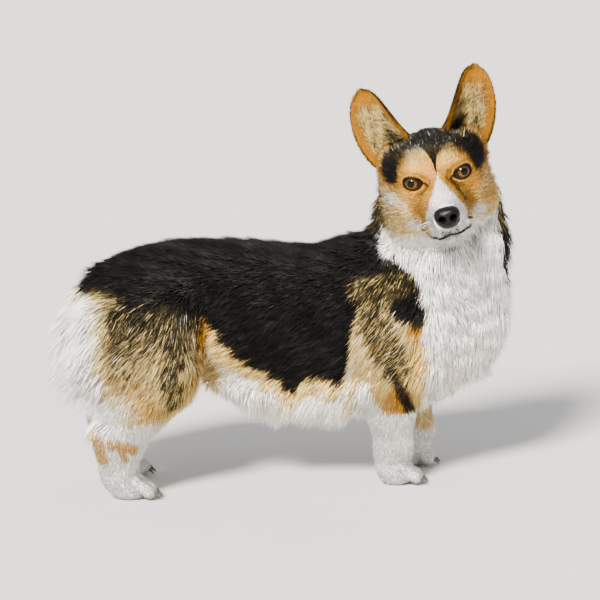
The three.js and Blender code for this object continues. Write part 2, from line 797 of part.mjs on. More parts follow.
// Each leg with the names of its three nodes
const fore = { top: "upperarm", low: "foreleg", foot: "forepaw", inner: 14 };
const hind = { top: "thigh", low: "hindleg", foot: "hindpaw", inner: 24, outline: hindOutline };
const LEGS = [
  { ...fore, sideName: "right", outline: foreOutline(90), leg: FORE_RIGHT },
  { ...fore, sideName: "left", outline: foreOutline(134), leg: FORE_LEFT },
  { ...hind, sideName: "right", leg: HIND_RIGHT },
  { ...hind, sideName: "left", leg: HIND_LEFT },
];

// The room below a leg's upper cut, wide enough for the leg and its paw
function legRoom({ leg, top }, grow) {
  const long = top === "thigh" ? [-268, -126] : [leg.paw - 54, leg.paw + 50];
  const wide = [leg.side * 6, leg.side * 130].sort((a, b) => a - b);
  const size = [long[1] - long[0], wide[1] - wide[0], 150].map((v) => v + 2 * grow);
  const middle = [(long[0] + long[1]) / 2, (wide[0] + wide[1]) / 2, LEG_TOP - 75];
  return solidOf(new THREE.BoxGeometry(...size).translate(...middle));
}

// The head's region: in front of the cut behind the ears and above the throat
function headRegion(shrink) {
  const box = new THREE.BoxGeometry(280, 146, 260).translate(0, 0, 130 + THROAT + shrink);
  const shift = times(unit(HEAD_CUT.normal), shrink);
  return inHead(box).intersect(beyond(add(HEAD_CUT.at, shift), HEAD_CUT.normal, HEAD_CUT.reach));
}
const headLow = EYES_AT.map((v) => v - 124);
const headHigh = EYES_AT.map((v) => v + 112);

const nodes = [];
const keep = (name, made, colour, roughness = 0.9) =>
  nodes.push({ name, geometry: geometryOf(largest(made)), colour, roughness });

const join = (...solids) => wasm.Manifold.union(solids);
const bare = surfaceOf(dogField, [-300, -150, 40], [270, 130, 430], BODY_CELL);
const hindLocks = [...breechLocks(-1), ...breechLocks(1), ...fringeLocks(-1), ...fringeLocks(1)];
const body = join(bare, ...ruffLocks(), ...hindLocks);
const lower = surfaceOf(bodyField, [-290, -120, -20], [240, 120, 112], LEG_CELL);
const feet = surfaceOf(bodyField, [-290, -120, -20], [240, 120, 52], PAW_CELL).subtract(floorCut);

const legRooms = join(...LEGS.map((parts) => legRoom(parts, GAP / 2)));
const upper = body.subtract(legRooms).subtract(headRegion(-GAP / 2));
let [torso, neckSolid] = split(upper, NECK_CUT);
for (const parts of LEGS) {
  const { sideName, top, low, foot, inner, outline, leg } = parts;
  keep(`${top}_${sideName}`, torso.intersect(sideRegion(outline, leg.side, inner)), COLOURS.tan);
  torso = torso.subtract(sideRegion(outline, leg.side, inner, GAP));
  const room = legRoom(parts, -GAP / 2);
  const [shank] = split(lower.intersect(room), PAW_CUT);
  const [, paws] = split(feet.intersect(room), PAW_CUT);
  keep(`${low}_${sideName}`, shank, COLOURS.tan);
  keep(`${foot}_${sideName}`, join(paws, ...claws(leg)), COLOURS.white);
}
const [trunkSolid, tailSolid] = split(torso, TAIL_CUT);
keep("torso", trunkSolid, COLOURS.black);
keep("tail", tailSolid, COLOURS.black);
keep("neck", neckSolid, COLOURS.white);

const skull = join(
  surfaceOf(dogField, headLow, headHigh, HEAD_CELL),
  ...cheekLocks(-1),
  ...cheekLocks(1),
).intersect(headRegion(GAP / 2));
let [head] = split(skull, MUZZLE_CUT);
const faceMiddle = fromHead([40, 0, -30]);
const ahead = (field) => {
  const low = faceMiddle.map((v) => v - 70);
  const high = faceMiddle.map((v) => v + 70);
  return split(surfaceOf(field, low, high, MUZZLE_CELL), MUZZLE_CUT)[1];
};
let muzzleSolid = largest(ahead(dogField)).subtract(underMouth(-GAP / 2));
const jaw = largest(ahead(jawField)).intersect(underMouth(GAP / 2));
head = largest(head);
for (const side of [-1, 1]) {
  const name = side < 0 ? "right" : "left";
  head = head.add(lidRim(side)).subtract(eyeBall(side, EYE_RADIUS + GAP)).subtract(lidOpening(side));
  muzzleSolid = muzzleSolid.subtract(eyeBall(side, EYE_RADIUS + GAP)).subtract(lidOpening(side));
  keep(`eye_${name}`, eyeBall(side, EYE_RADIUS), COLOURS.iris, 0.1);
  const earCut = {
    at: fromHead([-60, side * 44, 38]),
    normal: sub(fromHead(mirror(EAR.tip(side), side)), fromHead(mirror(EAR.foot, side))),
    reach: 120,
  };
  const [root, blade] = split(earShell(side), earCut);
  head = head.add(root.intersect(headRegion(GAP / 2))).subtract(bladeRoom(side, earCut));
  keep(`ear_${name}`, blade, COLOURS.inner_ear);
}
const pad = nosePad(0).subtract(nostril(1)).subtract(nostril(-1));
muzzleSolid = muzzleSolid.subtract(nosePad(GAP));
keep("muzzle", muzzleSolid, COLOURS.white);
keep("lower_jaw", jaw, COLOURS.white);
keep("nose", pad, COLOURS.nose, 0.4);
keep("head", head, COLOURS.tan);

const dog = new THREE.Group();
for (const { name, geometry, colour, roughness } of nodes) {
  const material = new THREE.MeshStandardMaterial({ color: colour, roughness, metalness: 0 });
  const mesh = new THREE.Mesh(geometry, material);
  mesh.name = name;
  dog.add(mesh);
}
dog.scale.setScalar(SCALE);
dog.updateMatrixWorld(true);
const box = new THREE.Box3().setFromObject(dog, true);
const centre = box.getCenter(new THREE.Vector3());
dog.position.set(-centre.x, -centre.y, 0);
dog.updateMatrixWorld(true);

export default dog;
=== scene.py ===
"""A tricolour Pembroke Welsh Corgi, standing with its head turned to its right.

Lengths are in millimetres in the frame of the dog: +X is its forward direction, +Y its left, +Z is up and
the floor is z = 0. They become metres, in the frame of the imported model, as each mesh is made.
"""

import math
from functools import reduce

import bpy
import numpy as np
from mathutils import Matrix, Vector


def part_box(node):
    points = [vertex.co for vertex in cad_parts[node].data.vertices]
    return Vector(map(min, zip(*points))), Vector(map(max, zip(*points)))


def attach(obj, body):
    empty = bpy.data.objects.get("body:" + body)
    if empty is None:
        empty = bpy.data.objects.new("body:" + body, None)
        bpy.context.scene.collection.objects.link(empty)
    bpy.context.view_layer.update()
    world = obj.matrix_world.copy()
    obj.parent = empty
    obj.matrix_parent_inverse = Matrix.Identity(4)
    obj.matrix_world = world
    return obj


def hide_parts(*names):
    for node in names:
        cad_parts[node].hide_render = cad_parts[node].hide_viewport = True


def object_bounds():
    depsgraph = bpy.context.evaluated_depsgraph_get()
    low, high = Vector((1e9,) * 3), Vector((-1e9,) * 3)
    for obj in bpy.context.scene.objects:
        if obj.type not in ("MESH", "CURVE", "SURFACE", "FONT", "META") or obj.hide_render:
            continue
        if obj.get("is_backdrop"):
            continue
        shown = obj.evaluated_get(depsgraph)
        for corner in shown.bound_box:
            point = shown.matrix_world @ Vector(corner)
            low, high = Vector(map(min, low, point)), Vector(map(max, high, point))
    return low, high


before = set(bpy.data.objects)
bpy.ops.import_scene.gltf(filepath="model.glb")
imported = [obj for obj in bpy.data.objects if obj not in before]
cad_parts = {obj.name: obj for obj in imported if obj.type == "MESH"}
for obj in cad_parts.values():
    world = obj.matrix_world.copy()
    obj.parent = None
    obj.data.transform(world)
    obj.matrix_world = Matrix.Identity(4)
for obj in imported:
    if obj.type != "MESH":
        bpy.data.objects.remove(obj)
cad_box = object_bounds()
rng = np.random.default_rng(20)


# Small helpers on numbers and on rows of points
def norm(v):
    return np.linalg.norm(v, axis=1)


def unit(v):
    v = np.asarray(v, float)
    return v / np.maximum(np.linalg.norm(v, axis=-1, keepdims=True), 1e-9)


def dot(a, b):
    return (a * b).sum(-1, keepdims=True)


def rows(*columns):
    """Numbers and columns of numbers side by side"""
    return np.column_stack(np.broadcast_arrays(*columns))


def most(*values):
    """The greatest of the values at each place"""
    return reduce(np.maximum, values)


def smooth(low, high, x):
    """0 up to low and 1 from high on"""
    t = np.clip((x - low) / (high - low), 0, 1)
    return t * t * (3 - 2 * t)


def mix(a, b, t):
    return a + (b - a) * t


def mix_rows(a, b, t):
    return mix(a, b, t[:, None])


def layered(made, *layers):
    """A value, or rows, mixed in turn with others, each by its share"""
    for value, share in layers:
        made = mix(made, value, share[:, None] if np.ndim(made) > 1 else share)
    return made


def circle(count):
    return np.linspace(0, 2 * math.pi, count, endpoint=False)


def curve(*pairs):
    """A smooth curve through (place, value) pairs, flat beyond its ends"""
    x, v = np.array(pairs, float).T
    i = np.arange(len(x))
    before, after = np.maximum(i - 1, 0), np.minimum(i + 1, len(x) - 1)
    slope = (v[after] - v[before]) / (x[after] - x[before])

    def at(s):
        s = np.clip(s, x[0], x[-1])
        k = np.clip(np.searchsorted(x, s, "right") - 1, 0, len(x) - 2)
        h = x[k + 1] - x[k]
        t = (s - x[k]) / h
        return (
            (1 + 2 * t) * (1 - t) ** 2 * v[k]
            + t * (1 - t) ** 2 * h * slope[k]
            + t * t * (3 - 2 * t) * v[k + 1]
            + t * t * (t - 1) * h * slope[k + 1]
        )

    return at


def waves(p, size, seed):
    """A smooth wandering value of about -1 to 1, with bumps of the size given"""
    made = np.zeros(len(p))
    chance = np.random.default_rng(seed)
    for _ in range(4):
        way = unit(chance.normal(size=3)) * chance.uniform(0.7, 1.5) * 2 * math.pi / (2.2 * size)
        made += np.sin(p @ way + chance.uniform(0, 6.3))
    return made / 2.4


def swirl(p, size, seed):
    """A wandering direction of about unit length"""
    return rows(*[waves(p, size, seed + i) for i in range(3)])


# Fields: the distance of points to a surface, negative inside it
def bone(a, ra, b, rb):
    a, b = np.array(a, float), np.array(b, float)
    axis = b - a

    def field(p):
        d = p - a
        t = np.clip(d @ axis / (axis @ axis), 0, 1)
        return norm(d - t[:, None] * axis) - mix(ra, rb, t)

    return field


def lump(centre, radii, pitch=0.0):
    cp, sp = math.cos(math.radians(pitch)), math.sin(math.radians(pitch))
    size = mix(min(radii), max(radii), 0.35)

    def field(p):
        x, y, z = (p - centre).T
        return (norm(rows(cp * x - sp * z, y, sp * x + cp * z) / radii) - 1) * size

    return field


def join(k, d, e):
    """The union of two fields' values, rounded over a width of k"""
    h = np.maximum(k - np.abs(d - e), 0) / k
    return np.minimum(d, e) - h * h * k / 4


def away(k, d, e):
    """The first field's values with the second's taken away"""
    h = np.maximum(k - np.abs(d + e), 0) / k
    return np.maximum(d, -e) + h * h * k / 4


def blend(k, *fields):
    def field(p):
        return reduce(lambda d, other: join(k, d, other(p)), fields[1:], fields[0](p))

    return field


def chain(k, *joints):
    return blend(k, *[bone(a, ra, b, rb) for (a, ra), (b, rb) in zip(joints, joints[1:])])


# Body
back_line = curve(
    (-250, 241), (-215, 260), (-154, 278), (-69, 279), (12, 270.5), (54, 277), (110, 281), (200, 262),
)
under_line = curve(
    (-240, 175), (-180, 150), (-122, 130), (-60, 104), (0, 91), (67, 86), (130, 90), (190, 124),
)
side_line = curve((-240, 52), (-190, 72), (-120, 78), (-40, 84), (30, 92), (90, 88), (150, 76), (200, 62))
TRUNK_REAR, TRUNK_FRONT, REAR_END, FRONT_END, TRUNK_SQUARE = -200, 168, 46, 66, 2.25


def trunk(p):
    x, y, z = p.T
    top, low, wide = back_line(x), under_line(x), side_line(x)
    tall = (top - low) / 2
    past = most(0, (TRUNK_REAR - x) / REAR_END, (x - TRUNK_FRONT) / FRONT_END)
    n = TRUNK_SQUARE
    q = ((np.abs(y) / wide) ** n + (np.abs(z - (top + low) / 2) / tall) ** n + past**n) ** (1 / n)
    return (q - 1) * np.minimum(wide, tall)


def shoulder(side, x):
    return lump((x, side * 52, 190), (50, 38, 74), -14)


def thigh(side):
    return lump((-192, side * 54, 164), (62, 38, 78), -6)


def foreleg(side, elbow, wrist, out):
    return chain(
        12,
        ((elbow + 18, side * 56, 168), 40),
        ((elbow, side * 64, 124), 33),
        ((mix(elbow, wrist, 0.5), side * mix(62, out, 0.5), 84), 26),
        ((wrist, side * out, 44), 21),
        ((wrist - 2, side * out, 24), 18.5),
    )


def hindleg(side, knee, hock, out):
    return chain(
        12,
        ((-183, side * 52, 196), 48),
        ((knee, side * (out + 6), 138), 37),
        ((mix(knee, hock, 0.6), side * (out + 2), 100), 31),
        ((hock, side * out, 68), 28),
        ((hock - 1, side * out, 28), 21),
    )


FORELEGS = [(-1, 88, 97, 50, 97), (1, 134, 147, 44, 136)]  # side, elbow, wrist, out, paw
HINDLEGS = [(-1, -167, -217, 62, -209), (1, -157, -206, 60, -197)]  # side, knee, hock, out, paw
TOES, TOE_APART = (-1.5, -0.5, 0.5, 1.5), 10.6


def toe_at(x, y, i, ahead):
    """Where the toe with the number i starts, that far ahead of its paw's middle"""
    return x + ahead - 4 * abs(i), y + i * TOE_APART


def paw(x, y):
    toes = [bone((*toe_at(x, y, i, 28), 10.6), 8.0, (x + 8, y + i * 8, 21), 7.5) for i in TOES]
    return blend(2.6, lump((x + 4, y, 14), (22, 18, 15.5)), *toes)


neck = chain(24, ((140, 0, 206), 76), ((158, -8, 262), 71), ((148, -30, 322), 60))
forechest = lump((172, 0, 178), (56, 56, 66), 10)
body_core = blend(30, trunk, forechest, shoulder(-1, 104), shoulder(1, 116), thigh(-1), thigh(1))
fore_legs = blend(22, *[foreleg(*leg[:4]) for leg in FORELEGS])
hind_legs = blend(22, *[hindleg(*leg[:4]) for leg in HINDLEGS])
paws = blend(8, *[paw(leg[4], leg[0] * leg[3]) for leg in FORELEGS + HINDLEGS])
tail = bone((-222, 0, 240), 17, (-234, 0, 235), 13)

# Head: its frame's origin is midway between the eyes, x to the nose, y to the left ear, z to the crown.
EYES_AT = np.array([133.0, -100, 353])
HEAD_YAW, HEAD_PITCH, HEAD_ROLL = 102, -2, 13.5


def head_axes():
    yaw, pitch, roll = (math.radians(v) for v in (-HEAD_YAW, HEAD_PITCH, HEAD_ROLL))
    forward = np.array([math.cos(yaw) * math.cos(pitch), math.sin(yaw) * math.cos(pitch), math.sin(pitch)])
    level = unit(np.cross([0, 0, 1], forward))
    up = np.cross(forward, level)
    return np.array([
        forward,
        level * math.cos(roll) + up * math.sin(roll),
        up * math.cos(roll) - level * math.sin(roll),
    ])


HEAD = head_axes()


def to_head(p):
    return (p - EYES_AT) @ HEAD.T


def from_head(h):
    return np.asarray(h, float) @ HEAD + EYES_AT


skull = blend(
    18,
    lump((-52, 0, 5), (62, 51, 43)),
    lump((-40, 34, -24), (40, 28, 32)),
    lump((-50, 34, -44), (36, 28, 26)),
    lump((-46, 0, -50), (48, 38, 34)),
    lump((-62, 44, 16), (22, 20, 26)),
)
brow = lump((-16, 20, 14), (16, 15, 8))
muzzle = chain(14, ((-24, 0, -21), 36), ((8, 0, -30), 26), ((43, 0, -40), 17.5))
lips = chain(6, ((0, 20, -45), 11), ((24, 13, -50), 10), ((42, 7, -53), 9.5))
chin = chain(8, ((-26, 0, -50), 24), ((12, 8, -56), 13), ((38, 5, -59), 9))
head_whole = blend(14, skull, brow, blend(7, muzzle, lips, chin))
orbit = lump((8, 27, -1), (10, 15, 10))
HEAD_MIDDLE, HEAD_REACH = from_head([-30, 0, -10]), 125
FAR = 1e3


def near_head(p):
    return norm(p - HEAD_MIDDLE) < HEAD_REACH


def folded(h):
    """Both halves of the head on its left"""
    return rows(h[:, 0], np.abs(h[:, 1]), h[:, 2])


def head_shape(p):
    h = folded(to_head(p))
    return away(6, head_whole(h), orbit(h))


def where(mask, p, field):
    """A field's values where the mask holds, and a far distance elsewhere"""
    made = np.full(len(p), FAR)
    if mask.any():
        made[mask] = field(p[mask])
    return made


def legs_of(p):
    low = p[:, 2] < 270
    return np.minimum(where(low & (p[:, 0] > 0), p, fore_legs), where(low & (p[:, 0] < 0), p, hind_legs))


def dog(p):
    """The outer surface of the short coat, as the solids have it"""
    d = join(20, body_core(p), neck(p))
    d = join(22, d, legs_of(p))
    d = join(8, d, where(p[:, 2] < 70, p, paws))
    d = join(14, d, where(p[:, 0] < -180, p, tail))
    return join(18, d, where(near_head(p), p, head_shape))


class Place:
    """Points with their share in each part of the dog, from 0 to 1, for the formulas of the coat"""

    def __init__(self, p):
        self.p, self.h = p, to_head(p)
        self.x, self.y, self.z = x, _, z = p.T
        self.hx, self.hy, self.hz = hx, hy, hz = self.h.T
        behind = 0.82 * (hx + 66) + 0.57 * (hz + 18)
        head = smooth(-6, 10, behind) * smooth(-88, -72, hz) * smooth(86, 72, np.abs(hy)) * near_head(p)
        self.head = head
        self.face = head * smooth(-34, -4, hx) * smooth(60, 42, np.abs(hy))
        self.muzzle = head * smooth(2, 22, hx)
        self.legs = smooth(10, -8, legs_of(p) - body_core(p)) * smooth(140, 92, z)
        self.paws = smooth(44, 26, z)
        nape = smooth(250, 275, z) * smooth(48, 84, x)
        chest = smooth(100, 138, x) * smooth(88, 112, z)
        self.ruff = most(nape, chest) * (1 - head) * (1 - self.legs)
        self.breeches = smooth(-222, -242, x) * smooth(74, 94, z) * smooth(238, 222, z)
        self.belly = smooth(-150, -120, x) * smooth(84, 58, x) * smooth(148, 112, z) * (1 - self.legs)
        self.long = most(self.ruff, self.breeches, self.belly)
        under_chest = smooth(120, 150, x) * smooth(168, 130, z) * (1 - self.legs)
        self.hanging = np.clip(0.85 * self.belly + 0.8 * self.breeches + 0.7 * under_chest, 0, 1)
        self.thigh = smooth(-108, -134, x) * smooth(78, 96, z) * smooth(236, 208, z)
        self.arm = smooth(28, 50, x) * smooth(134, 116, x) * smooth(225, 190, z) * smooth(74, 92, z)


def coat_depth(at):
    """From the skin to the outer surface of the short coat"""
    on_head = mix(mix(4.0, 1.5, at.face), 1.1, at.muzzle)
    return layered(6.5, (3.0, at.legs), (2.2, at.paws), (8.0, at.long), (on_head, at.head))


# Eyes: an almond opening between the lids, over a ball
EYE_APART, EYE_RADIUS, EYE_DEEP, EYE_TURN = 53, 11, 8, 20
ALMOND_WIDE, ALMOND_UP, ALMOND_DOWN, ALMOND_TILT = 9.7, 6.1, 5.5, 0.13
UPPER_ROUND, LOWER_ROUND = 0.85, 0.9
LID_EDGE = 1.2  # the skin ends this far outside the opening, under the lids
LID_THICK = 0.5


def eye_frame(side):
    """The axes of an eye as rows, in the head's frame: its gaze, outwards along the opening, and up"""
    turn = math.radians(EYE_TURN)
    gaze = [math.cos(turn), side * math.sin(turn), 0]
    out = [-math.sin(turn), side * math.cos(turn), 0]
    return np.array([gaze, out, [0, 0, 1.0]])


def eye_centre(side):
    return np.array([-EYE_DEEP, side * EYE_APART / 2, 0])


def from_eye(e, side):
    return from_head(eye_centre(side) + e @ eye_frame(side))


def in_eye(h):
    """Points of the head in the frame of the eye on their side"""
    return (folded(h) - eye_centre(1)) @ eye_frame(1).T


def past_almond(e):
    """How far points in an eye's frame are outside its opening, seen along the gaze"""
    across, high = e[:, 1], e[:, 2] - ALMOND_TILT * e[:, 1]
    open_ = np.sqrt(np.maximum(1 - (across / ALMOND_WIDE) ** 2, 0))
    past = most(high - ALMOND_UP * open_**UPPER_ROUND, -high - ALMOND_DOWN * open_**LOWER_ROUND)
    return most(past, np.abs(across) - ALMOND_WIDE)


def past_ball(h):
    """How far points of the head are outside the ball of the eye on their side"""
    return norm(folded(h) - eye_centre(1)) - EYE_RADIUS


def eyelid(p):
    return past_ball(to_head(p)) - LID_THICK


def eye_opening(p):
    e = in_eye(to_head(p))
    return most(past_almond(e) - LID_EDGE, 2 - e[:, 0])


NOSE_AT = np.array([55.0, 0, -35.5])
NOSE_RADII = np.array([10.5, 14.5, 12.5])


def past_nose(h, wider):
    """1 on the surface of a ball like the nose pad but that much wider, and less inside it"""
    return norm((h - NOSE_AT) / (NOSE_RADII + wider))


def nose_room(p):
    """Inside the nose pad, where there is no skin"""
    return (past_nose(to_head(p), -1.2) - 1) * 8


def skin(p):
    near = near_head(p)
    d = join(4, dog(p) + coat_depth(Place(p)), where(near, p, eyelid))
    return most(d, -where(near, p, nose_room), -where(near, p, eye_opening))


def slope(field, p, step=0.5):
    """The direction in which a field grows, and its values"""
    d = field(p)
    return unit(rows(*[field(p + step * axis) - d for axis in np.eye(3)])), d


# Surfaces of fields, with a grid that is finer round the head
def lines(low, high, fine_low, fine_high, step, fine):
    parts = ((low, fine_low, step), (fine_low, fine_high, fine), (fine_high, high, step))
    return np.concatenate([np.arange(*part) for part in parts])


def grid(*sizes):
    """All places of a grid, as rows of whole numbers"""
    return np.stack(np.meshgrid(*[np.arange(n) for n in sizes], indexing="ij"), -1).reshape(-1, len(sizes))


CORNERS = np.array([[i & 1, (i >> 1) & 1, i >> 2] for i in range(8)])
EDGES = [(a, a | bit) for a in range(8) for bit in (1, 2, 4) if not a & bit]
BLOCK = 6  # cells along each side of a block
BLOCK_NEAR, BLOCK_SPARE = 1.7, 4  # a block is left out beyond this many of its halves and millimetres


def picked_places(axes, index):
    return rows(*[a[index[:, i]] for i, a in enumerate(axes)])


def surface_of(field, *axes):
    """Points and four-sided faces where a field is zero: one point in each cell that the surface crosses"""
    n = [len(a) for a in axes]
    starts = [np.arange(0, m, BLOCK) for m in n]
    ends = [np.minimum(s + BLOCK, m - 1) for s, m in zip(starts, n)]
    blocks = grid(*[len(s) for s in starts])
    d = field(picked_places([(a[s] + a[e]) / 2 for a, s, e in zip(axes, starts, ends)], blocks))
    reach = norm(picked_places([(a[e] - a[s]) / 2 for a, s, e in zip(axes, starts, ends)], blocks))
    value = d.reshape([len(s) for s in starts])
    for i in range(3):
        value = np.repeat(value, BLOCK, i)
    value = value[: n[0], : n[1], : n[2]].copy()
    near = np.abs(d) < BLOCK_NEAR * reach + BLOCK_SPARE
    nodes = (blocks[near][:, None] * BLOCK + grid(BLOCK, BLOCK, BLOCK)).reshape(-1, 3)
    nodes = nodes[(nodes < n).all(1)]
    value[tuple(nodes.T)] = field(picked_places(axes, nodes))

    inside = value < 0
    count = np.zeros([m - 1 for m in n], np.int8)
    for i, j, k in CORNERS:
        count += inside[i : n[0] - 1 + i, j : n[1] - 1 + j, k : n[2] - 1 + k]
    cells = np.argwhere((count > 0) & (count < 8))
    total, hits = np.zeros((len(cells), 3)), np.zeros((len(cells), 1))
    for a, b in EDGES:
        na, nb = cells + CORNERS[a], cells + CORNERS[b]
        va, vb = value[tuple(na.T)], value[tuple(nb.T)]
        cross = (va < 0) != (vb < 0)
        share = va / np.where(cross, va - vb, 1)
        crossing = mix_rows(picked_places(axes, na), picked_places(axes, nb), share)
        total += np.where(cross[:, None], crossing, 0)
        hits += cross[:, None]
    number = np.full(n, -1)
    number[tuple(cells.T)] = np.arange(len(cells))
    faces = []
    for u, v, w in np.eye(3, dtype=int)[[[0, 1, 2], [1, 2, 0], [2, 0, 1]]]:
        before = inside[: n[0] - u[0], : n[1] - u[1], : n[2] - u[2]]
        at = np.argwhere(before != inside[u[0] :, u[1] :, u[2] :])
        at = at[((at - v - w) >= 0).all(1)]
        ring = rows(*[number[tuple((at - s).T)] for s in (v + w, w, 0 * w, v)])
        ring = np.where(inside[tuple(at.T)][:, None], ring, ring[:, ::-1])
        faces.append(ring[(ring >= 0).all(1)])
    return total / hits, np.concatenate(faces)


def settled(field, points, most_far, turns=2):
    """Points moved onto the surface of a field"""
    for _ in range(turns):
        n, d = slope(field, points)
        points = points - n * np.clip(d, -most_far, most_far)[:, None]
    return points


# Markings: how black, tan, cream and white the coat is at each place
def srgb(*levels):
    return np.array([(v / 255 / 12.92 if v < 10.3 else ((v / 255 + 0.055) / 1.055) ** 2.4) for v in levels])


PELT = np.array([srgb(12, 11, 10), srgb(184, 121, 4), srgb(242, 212, 132), srgb(255, 253, 248)])
BLACK, TAN, CREAM, WHITE = range(4)

# Lower edge of the black saddle along X, and how far it is broken up there
saddle_edge = curve(
    (-262, 216), (-248, 218), (-238, 226), (-226, 226), (-214, 206), (-200, 196), (-170, 196), (-148, 196),
    (-130, 198), (-116, 190), (-108, 175), (-97, 164), (-88, 154), (-65, 141), (-49, 131), (-33, 121),
    (-19, 112), (-10, 126), (10, 126), (27, 119), (34, 134), (38, 165), (42, 196), (54, 206), (70, 208),
    (88, 200), (104, 190), (118, 184), (132, 186),
)
saddle_soft = curve(
    (-250, 4), (-236, 8), (-222, 18), (-205, 30), (-160, 26), (-134, 12), (-116, 6), (25, 5), (40, 14),
    (56, 24), (90, 20), (104, 10), (124, 8),
)
# Share of black among the hairs of the thigh by height
thigh_black = curve((95, 0.0), (115, 0.1), (140, 0.28), (165, 0.5), (188, 0.68), (207, 0.84), (225, 0.96))
# The black band down the front of the thigh: its middle and half its width by height
band_middle = curve((95, -172), (108, -161), (125, -163), (150, -163), (175, -160), (205, -156))
band_half = curve((95, 3), (108, 9), (125, 14), (150, 16), (175, 17), (200, 18))
# By height: the front edge of the black on the right, the same on the left in Y, and the edge of the white
# at the rear
bib_right = curve(
    (100, 127), (110, 129), (131, 124), (163, 123), (178, 118), (184, 133), (206, 130), (214, 119),
    (231, 114), (246, 108), (254, 94), (265, 82), (284, 86), (300, 96), (320, 112), (345, 126),
)
bib_left = curve(
    (100, 66), (150, 62), (180, 54), (205, 30), (222, -20), (240, -46), (262, -56), (300, -62), (340, -78),
)
rear_edge = curve((96, -226), (126, -238), (142, -245), (163, -248), (183, -248), (207, -244), (226, -236))


def near_path(points, path, radius, core=0.4):
    """1 near a path, falling to 0 at the radius"""
    path = np.array(path, float)
    least = FAR
    for a, b in zip(path, path[1:]):
        t = np.clip((points - a) @ (b - a) / ((b - a) @ (b - a)), 0, 1)
        least = np.minimum(least, norm(points - a - t[:, None] * (b - a)))
    return smooth(radius, core * radius, least)


def near_line(at, a, b, radius):
    """The same for a line, seen from the side of the dog"""
    return near_path(rows(at.x, at.z), [a, b], radius, 0.35)


def near_flat(h, path, radius):
    """The same for a path, seen from the front of the head"""
    return near_path(h[:, 1:], path, radius)


def spot(x, wide, z, high):
    """1 where x and z are 0, fading over the width and height given"""
    return np.exp(-((x / wide) ** 2) - (z / high) ** 2)


def weights(black, tan, white):
    """Shares of black, tan, cream and white: black lies over white, and white over tan"""
    rest = (1 - black) * (1 - white)
    return rows(black, rest * tan, rest * (1 - tan), (1 - black) * white)


